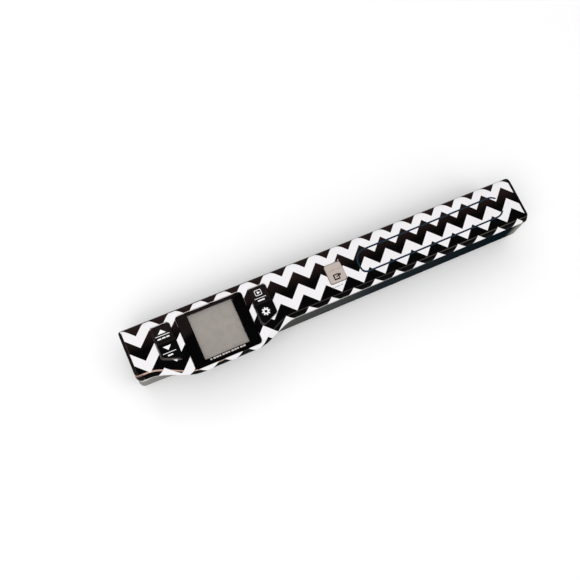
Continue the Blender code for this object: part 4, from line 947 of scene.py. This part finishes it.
def unroll(item):
    """Lays the print on the film: distances along and across the wrapped surface, in millimetres."""
    layer = item.data.uv_layers.new(name="print")
    found = {}
    for vertex in item.data.vertices:
        along = vertex.co.x + BODY_LENGTH / 2
        across = SWELL_DEPTH / 2 - vertex.co.y
        up = vertex.co.z
        if up < TOP - CREASE_EASE / 2:
            angle = math.asin(min(1.0, max(0.0, (up - SPLIT) / COVER_HEIGHT)))
            if across > COVER_HEIGHT * 2:
                across = band_run(along, angle)
            else:
                across = COVER_HEIGHT - COVER_HEIGHT * (math.pi / 2 - angle)
        found[vertex.index] = (along / MM - FILM_LEFT, across / MM - FILM_FAR)
    for loop in item.data.loops:
        layer.data[loop.index].uv = found[loop.vertex_index]


def key_corners(side):
    """Corners of a rocking key, left (-1) or right (+1) of the window."""
    outer = WINDOW_MIDDLE + side * KEY_OUTER
    inner = WINDOW_MIDDLE + side * KEY_INNER
    return [(outer, KEY_FAR), (inner, KEY_FAR), (inner, KEY_NEAR_INNER), (outer, KEY_NEAR_OUTER)]


def display_square(margin):
    side = DISPLAY_SIDE + 2 * margin
    return rectangle(span(WINDOW_MIDDLE, side), span(DISPLAY_FAR + DISPLAY_SIDE / 2, side))


WINDOW_CORNERS = rectangle((WINDOW_LEFT, WINDOW_RIGHT), (WINDOW_FAR, WINDOW_NEAR))
BUTTON_CORNERS = rectangle(BUTTON, BUTTON_ACROSS)


def end_block(name, end, start, stop, across):
    """A block over the top cover, from start to stop as measured from one of its ends."""
    along = (start, stop) if end == "left" else (BODY_LENGTH - stop, BODY_LENGTH - start)
    return block(name, along, across, (SPLIT - OVERRUN, TOP + OVERRUN))


def make_top_cover():
    """Patterned film shell with its wells."""
    cover = cover_skin("film_cover", FILM, CREASE_FILM)
    cut(cover, cover_room())
    for end, crease in (("left", CREASE[0]), ("right", CREASE[2])):
        for length, across in ((TRIM_THICKNESS, (-OVERRUN, SWELL_DEPTH)),
                               (TRIM_WING_LENGTH, (crease - PIECE_GAP, SWELL_DEPTH))):
            cut(cover, end_block("trim_room", end, -OVERRUN, length + PIECE_GAP, across))
    for side in (-1, 1):
        cut(cover, well_cutter("key_well", key_corners(side), KEY_CORNER, CEILING - PIECE_GAP))
    cut(cover, well_cutter("button_well", BUTTON_CORNERS, BUTTON_CORNER, CEILING - OVERRUN))
    recess = TOP - WINDOW_THICKNESS - BORE_GAP
    cut(cover, well_cutter("window_recess", WINDOW_CORNERS, WINDOW_CORNER, recess))
    cut(cover, through_top("display_opening", display_square(PIECE_GAP)))
    unroll(cover)
    fit(cover, None, "housing", ["top_cover"], "patterned_cover")


def make_end_trims():
    """Gloss black end pieces."""
    for end, crease in (("left", CREASE[0]), ("right", CREASE[2])):
        trim = cover_skin(end + "_trim", GLOSS, TRIM_CREASE_HIGHLIGHT, 1.0 if end == "left" else TRIM_FAR_POWER)
        for length, across in ((TRIM_THICKNESS, (-OVERRUN, crease)),
                               (TRIM_WING_LENGTH, (crease - BORE_GAP, SWELL_DEPTH + OVERRUN))):
            cut(trim, end_block("past_trim", end, length, BODY_LENGTH + OVERRUN, across))
        eased_edges(trim, TRIM_EASE, TRIM_EDGE_ANGLE, 2)
        fit(trim, None, "housing", [end + "_end_trim"], "black_gloss")


def make_bottom_cover():
    fit(copied("bottom_cover", "lower_shell"), SHELL, "housing", ["bottom_cover"], "grey_shell")


# ---- Display, keys and button

def flat_mark(name, outline, up, surface, body, slot, hole=None):
    """A thin printed mark from an outline, with a hole if one is given."""
    low = up - MARK_THICKNESS / 2
    item = stack(name, [(low, outline), (up + MARK_THICKNESS, outline)])
    if hole:
        cut(item, stack(name + "_hole", [(low - OVERRUN, hole), (up + OVERRUN, hole)]))
    fit(item, surface, body, [], slot)


def film_place(x, y):
    """Distances along and across of a point on the film, given in its millimetres."""
    return (x + FILM_LEFT) * MM, (y + FILM_FAR) * MM


def film_outline(*points):
    return [film_place(*point) for point in points]


def film_rectangle(left, far, right, near):
    return film_outline((left, far), (right, far), (right, near), (left, near))


def bar_mark(left, right, middle, width):
    return film_rectangle(left, middle - width / 2, right, middle + width / 2)


def cog_outline(middle, root, tip, teeth):
    points = []
    for tooth in range(teeth):
        for share, radius in ((-COG_ROOT_SHARE, root), (-COG_TIP_SHARE, tip),
                              (COG_TIP_SHARE, tip), (COG_ROOT_SHARE, root)):
            angle = 2 * math.pi * (tooth + share) / teeth
            points.append(around(middle, radius, angle))
    return points


def disc(middle, radius):
    """A round outline of 24 points."""
    return arc(middle, radius * MM, 0, 345, 23)


def make_window():
    """Acrylic window: painted border, clear square over the screen."""
    low = TOP - WINDOW_THICKNESS
    window = stack("window_border", eased_top(WINDOW_CORNERS, WINDOW_CORNER, low, TOP, WINDOW_EASE, 4))
    cut(window, through_top("window_hole", display_square(0)))
    fit(window, WINDOW_BLACK, "housing", ["display_window"], "black_gloss")
    edge = rectangle((WINDOW_LEFT + WINDOW_CORNER, WINDOW_RIGHT - WINDOW_CORNER),
                     span(WINDOW_FAR - PIECE_GAP - 2 * WELL_EASE, 2 * WELL_EASE))
    flat_mark("window_edge", edge, TOP, MARK_GREY, "housing", "patterned_cover")
    pane = display_square(-PANE_GAP)
    clear = stack("window_pane", [(low, pane), (TOP, pane)])
    fit(clear, CLEAR, "housing", [], "clear_glass")
    fit(copied("display_module", "display_panel"), COMPONENT, "housing", ["display_module"], "component_black")
    module_top = CEILING - PIECE_GAP - SCREEN_RECESS
    glass = display_square(-SCREEN_GAP)
    screen = stack("screen_face", [(module_top + SCREEN_GAP, glass), (module_top + SCREEN_THICKNESS, glass)])
    fit(screen, SCREEN, "housing", [], "screen")


def make_key(side, name, body):
    """A rocking key with its flange and pin, and the pale edge of its well with its painted highlights."""
    corners = key_corners(side)
    key = stack(name + "_key_cap", eased_top(corners, KEY_CORNER, KEY_FLANGE_UNDER, KEY_FACE, KEY_EASE))
    flange = rounded(grown(corners, KEY_FLANGE), KEY_CORNER)
    flange = [(KEY_FLANGE_UNDER + BORE_GAP, flange), (KEY_FLANGE_TOP, flange)]
    combine(key, stack("key_flange", flange), "UNION")
    middle = WINDOW_MIDDLE + side * (KEY_OUTER + KEY_INNER) / 2
    profile = [(AXIS_GAP, -KEY_PIN_REACH), (KEY_PIN_RADIUS, -KEY_PIN_REACH),
               (KEY_PIN_RADIUS, KEY_PIN_REACH), (AXIS_GAP, KEY_PIN_REACH)]
    pin = turned("key_pin", profile, place(middle, KEY_MIDDLE, KEY_PIN_UP), KEY_PIN_STEPS)
    combine(key, pin, "UNION")
    fit(key, KEY_BLACK, body, [name + "_rocker_key"], "key_black")

    rim = rounded(grown(corners, PIECE_GAP + WELL_EASE), KEY_CORNER + WELL_EASE)
    right = max(corners)[0] + PIECE_GAP
    beyond = [(min(along, right), across) for along, across in grown(corners, PIECE_GAP + 3 * WELL_EASE)]
    beyond = rounded(beyond, KEY_CORNER + 3 * WELL_EASE)
    flat_mark(name + "_well_edge", beyond, TOP, WELL_EDGE, "housing", "patterned_cover", rim)


def make_key_marks():
    """Generic marks and bars on the rocking keys."""
    cog = film_place(79.5, 20.6)
    left_marks = (
        ("up_mark", film_outline((20.6, 7.6), (23.0, 9.9), (18.2, 9.9))),
        ("upper_line", bar_mark(16.4, 24.6, 10.95, 0.35)),
        ("quality_bar_a", bar_mark(17.0, 19.2, 12.6, 0.75)),
        ("quality_bar_b", bar_mark(19.7, 21.7, 12.6, 0.75)),
        ("quality_bar_c", bar_mark(22.2, 24.0, 12.6, 0.75)),
        ("down_mark", film_outline((18.1, 17.4), (22.9, 17.4), (20.5, 19.9))),
        ("lower_line", bar_mark(16.7, 24.4, 21.3, 0.35)),
        ("power_bar", bar_mark(19.0, 22.0, 22.9, 0.8)),
    )
    right_marks = (
        ("play_frame", rounded(film_rectangle(77.6, 7.0, 81.7, 10.5), 0.6 * MM),
         rounded(film_rectangle(77.95, 7.35, 81.35, 10.15), 0.4 * MM)),
        ("play_mark", film_outline((79.0, 7.9), (81.0, 8.8), (79.0, 9.7))),
        ("right_line", bar_mark(76.2, 83.2, 12.0, 0.3)),
        ("play_bar", bar_mark(77.6, 81.8, 13.5, 0.8)),
        ("cog_mark", cog_outline(cog, 1.75 * MM, 2.45 * MM, 8), disc(cog, 0.85)),
    )
    for body, marks in (("left_key", left_marks), ("right_key", right_marks)):
        for name, outline, *hole in marks:
            flat_mark(name, outline, KEY_FACE, MARK_WHITE, body, "white_plastic", *hole)


def make_scan_button():
    """The scan button with a page and an arrow on it."""
    cap = eased_top(BUTTON_CORNERS, BUTTON_CORNER, BUTTON_SKIRT_UNDER, KEY_FACE, KEY_EASE)
    button = stack("scan_key_cap", cap)
    skirt = rounded(grown(BUTTON_CORNERS, BUTTON_SKIRT), BUTTON_CORNER)
    skirt = [(BUTTON_SKIRT_UNDER + BORE_GAP, skirt), (BUTTON_SKIRT_TOP, skirt)]
    combine(button, stack("button_skirt", skirt), "UNION")
    fit(button, TAUPE, "scan_key", ["scan_button"], "button_taupe")
    page = film_rectangle(124.7, 15.8, 128.5, 19.4)
    inner = film_rectangle(125.5, 16.5, 127.9, 18.6)
    flat_mark("page_mark", page, KEY_FACE, MARK_DARK, "scan_key", "component_black", inner)
    arrow = film_outline((126.4, 17.3), (128.6, 16.6), (128.5, 16.0), (129.9, 16.5), (129.1, 17.7),
                         (128.9, 17.2), (126.6, 17.9))
    flat_mark("arrow_mark", arrow, KEY_FACE + ARROW_LIFT, MARK_DARK, "scan_key", "component_black")


def make_dashes():
    """Rows of small bars where the object carries words."""
    on_film = (TOP, "housing", "white_plastic")
    on_button = (KEY_FACE, "scan_key", "button_taupe")
    rows = (
        ("window_dash", 39.7, 61.3, 33.85, 0.9, 12, MARK_GREY, on_film),
        ("lower_dash", 121.6, 128.6, 23.0, 0.45, 5, MARK_DIM, on_film),
        ("upper_dash", 129.8, 130.9, 8.55, 0.4, 1, MARK_DIM, on_film),
        ("button_dash", 123.0, 131.0, 13.2, 0.5, 6, MARK_TAUPE, on_button),
    )
    for name, left, right, middle, width, count, surface, (up, body, slot) in rows:
        pitch = (right - left) / count
        for i in range(count):
            start = left + i * pitch
            length = pitch * (LONG_DASH_SHARE if i % 3 else SHORT_DASH_SHARE)
            bar = bar_mark(start, start + length, middle, width)
            flat_mark("%s_%d" % (name, i), bar, up, surface, body, slot)
    flat_mark("pale_dot", disc(film_place(131.8, 8.42), 0.42), TOP, MARK_GREY, "housing", "white_plastic")


# ---- Underside

def make_rollers():
    """Four rubber rollers with fine rings pressed into them."""
    rollers = (
        ("rear_left_roller", "drive_roller", REAR_BORE), ("rear_right_roller", "drive_roller", REAR_BORE),
        ("front_left_roller", "front_left_idler", FRONT_BORE),
        ("front_right_roller", "front_right_idler", FRONT_BORE),
    )
    angles = [math.pi / 2 * i / TYRE_EDGE_STEPS for i in range(1, TYRE_EDGE_STEPS + 1)]
    for node, body, bore in rollers:
        low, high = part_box(node)
        half = (high.x - low.x) / 2
        radius = (high.z - low.z) / 2
        run = half - TYRE_EDGE
        side = radius - TYRE_EDGE
        shoulder = [(bore, half), (side, half)]
        shoulder += [(side + TYRE_EDGE * math.sin(a), run + TYRE_EDGE * math.cos(a)) for a in angles]
        profile = [(up, -along) for up, along in shoulder]
        for i in range(GROOVES):
            at = mix(-run, run, (i + 1) / (GROOVES + 1))
            profile += [(radius, at - GROOVE_HALF_TOP), (radius - GROOVE_DEPTH, at - GROOVE_HALF_FOOT),
                        (radius - GROOVE_DEPTH, at + GROOVE_HALF_FOOT), (radius, at + GROOVE_HALF_TOP)]
        profile += reversed(shoulder)
        roller = turned(node + "_tyre", profile, (low + high) / 2)
        fit(roller, RUBBER, body, [node], "roller_rubber")


def dress_nodes():
    """Finishes of the CAD nodes that stay."""
    finishes = {
        BOARD: "main_board sensor_board",
        WHITE_PLASTIC: "battery_connector roller_gear encoder_wheel encoder_eye",
        TIN: "up_switch down_switch play_switch settings_switch scan_switch usb_port card_socket",
        WRAP: "battery_pack",
        MARK_WHITE: "battery_lead",
        SENSOR: "sensor_housing rod_lens_array",
        GLASS: "scan_glass",
        LIGHT_BAR: "light_guide",
        COMPONENT: "guide_lamp processor",
        RIBBON: "sensor_ribbon",
        STEEL: "roller_shaft encoder_pin front_left_pin front_right_pin "
               "left_rear_screw left_front_screw right_rear_screw right_front_screw",
        BRONZE: "left_shaft_bush right_shaft_bush",
    }
    dressed = {name: surface for surface, names in finishes.items() for name in names.split()}
    for name, surface in dressed.items():
        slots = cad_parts[name].data.materials
        if not len(slots):
            slots.append(surface)
        for i in range(len(slots)):
            slots[i] = surface
    for name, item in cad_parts.items():
        if not item.hide_render and name not in dressed:
            raise SystemExit("no finish for " + name)


# ---- Stage

def make_floor():
    """Pale floor, just under the object."""
    bpy.ops.mesh.primitive_plane_add(size=FLOOR_SIDE, location=(0, 0, -FLOOR_DROP))
    floor = bpy.context.object
    floor.name = "floor"
    made = Finish("pale_floor", 0.7, 0.2)
    made.paint(made.noise(0.3), (0.975, 0.975, 0.975), (0.99, 0.99, 0.99))
    floor.data.materials.append(made.made)


def make_world():
    """Even white light, with a plain white behind it for the camera, gloss and glass."""
    world = bpy.data.worlds.new("studio")
    bpy.context.scene.world = world
    world.use_nodes = True
    world.node_tree.nodes.clear()
    made = Nodes(world.node_tree)
    path = made.new("LightPath").outputs
    seen = made.larger(made.larger(path["Is Camera Ray"], path["Is Glossy Ray"]), path["Is Transmission Ray"])
    choice = made.new("MixShader")
    made.join(seen, choice.inputs[0])
    for socket, strength in zip(choice.inputs[1:], (WORLD_STRENGTH, 1.0)):
        light = made.new("Background")
        made.join((1.0, 1.0, 1.0), light.inputs["Color"])
        made.join(strength, light.inputs["Strength"])
        made.join(light.outputs[0], socket)
    made.join(choice.outputs[0], made.new("OutputWorld").inputs["Surface"])


def make_lamps():
    """Soft square lamps that face the object."""
    for name, where, power in LAMPS:
        lamp = bpy.data.lights.new(name, "AREA")
        lamp.energy = power
        lamp.size = LAMP_SIDE
        item = added(name, lamp)
        item.location = where
        item.rotation_euler = (-Vector(where)).to_track_quat("-Z", "Y").to_euler()


def make_camera():
    """The photograph's camera."""
    right = Vector(CAMERA_RIGHT)
    up = Vector(CAMERA_UP)
    camera = bpy.data.cameras.new("view")
    camera.sensor_width = GATE_WIDTH
    camera.lens = GATE_WIDTH * FOCAL_PIXELS / PHOTO_SIDE
    camera.clip_start = CAMERA_CLIP
    item = added("view", camera)
    turn = Matrix((right, up, right.cross(up))).transposed()
    item.matrix_world = Matrix.Translation(Vector(CAMERA_PLACE)) @ turn.to_4x4()
    bpy.context.scene.camera = item
    bpy.context.scene.view_settings.view_transform = "Standard"


make_floor()
make_world()
make_lamps()
make_camera()
make_top_cover()
make_end_trims()
make_bottom_cover()
make_window()
for side_sign, key_name in ((-1, "left"), (1, "right")):
    make_key(side_sign, key_name, key_name + "_key")
make_key_marks()
make_scan_button()
make_dashes()
make_rollers()
dress_nodes()
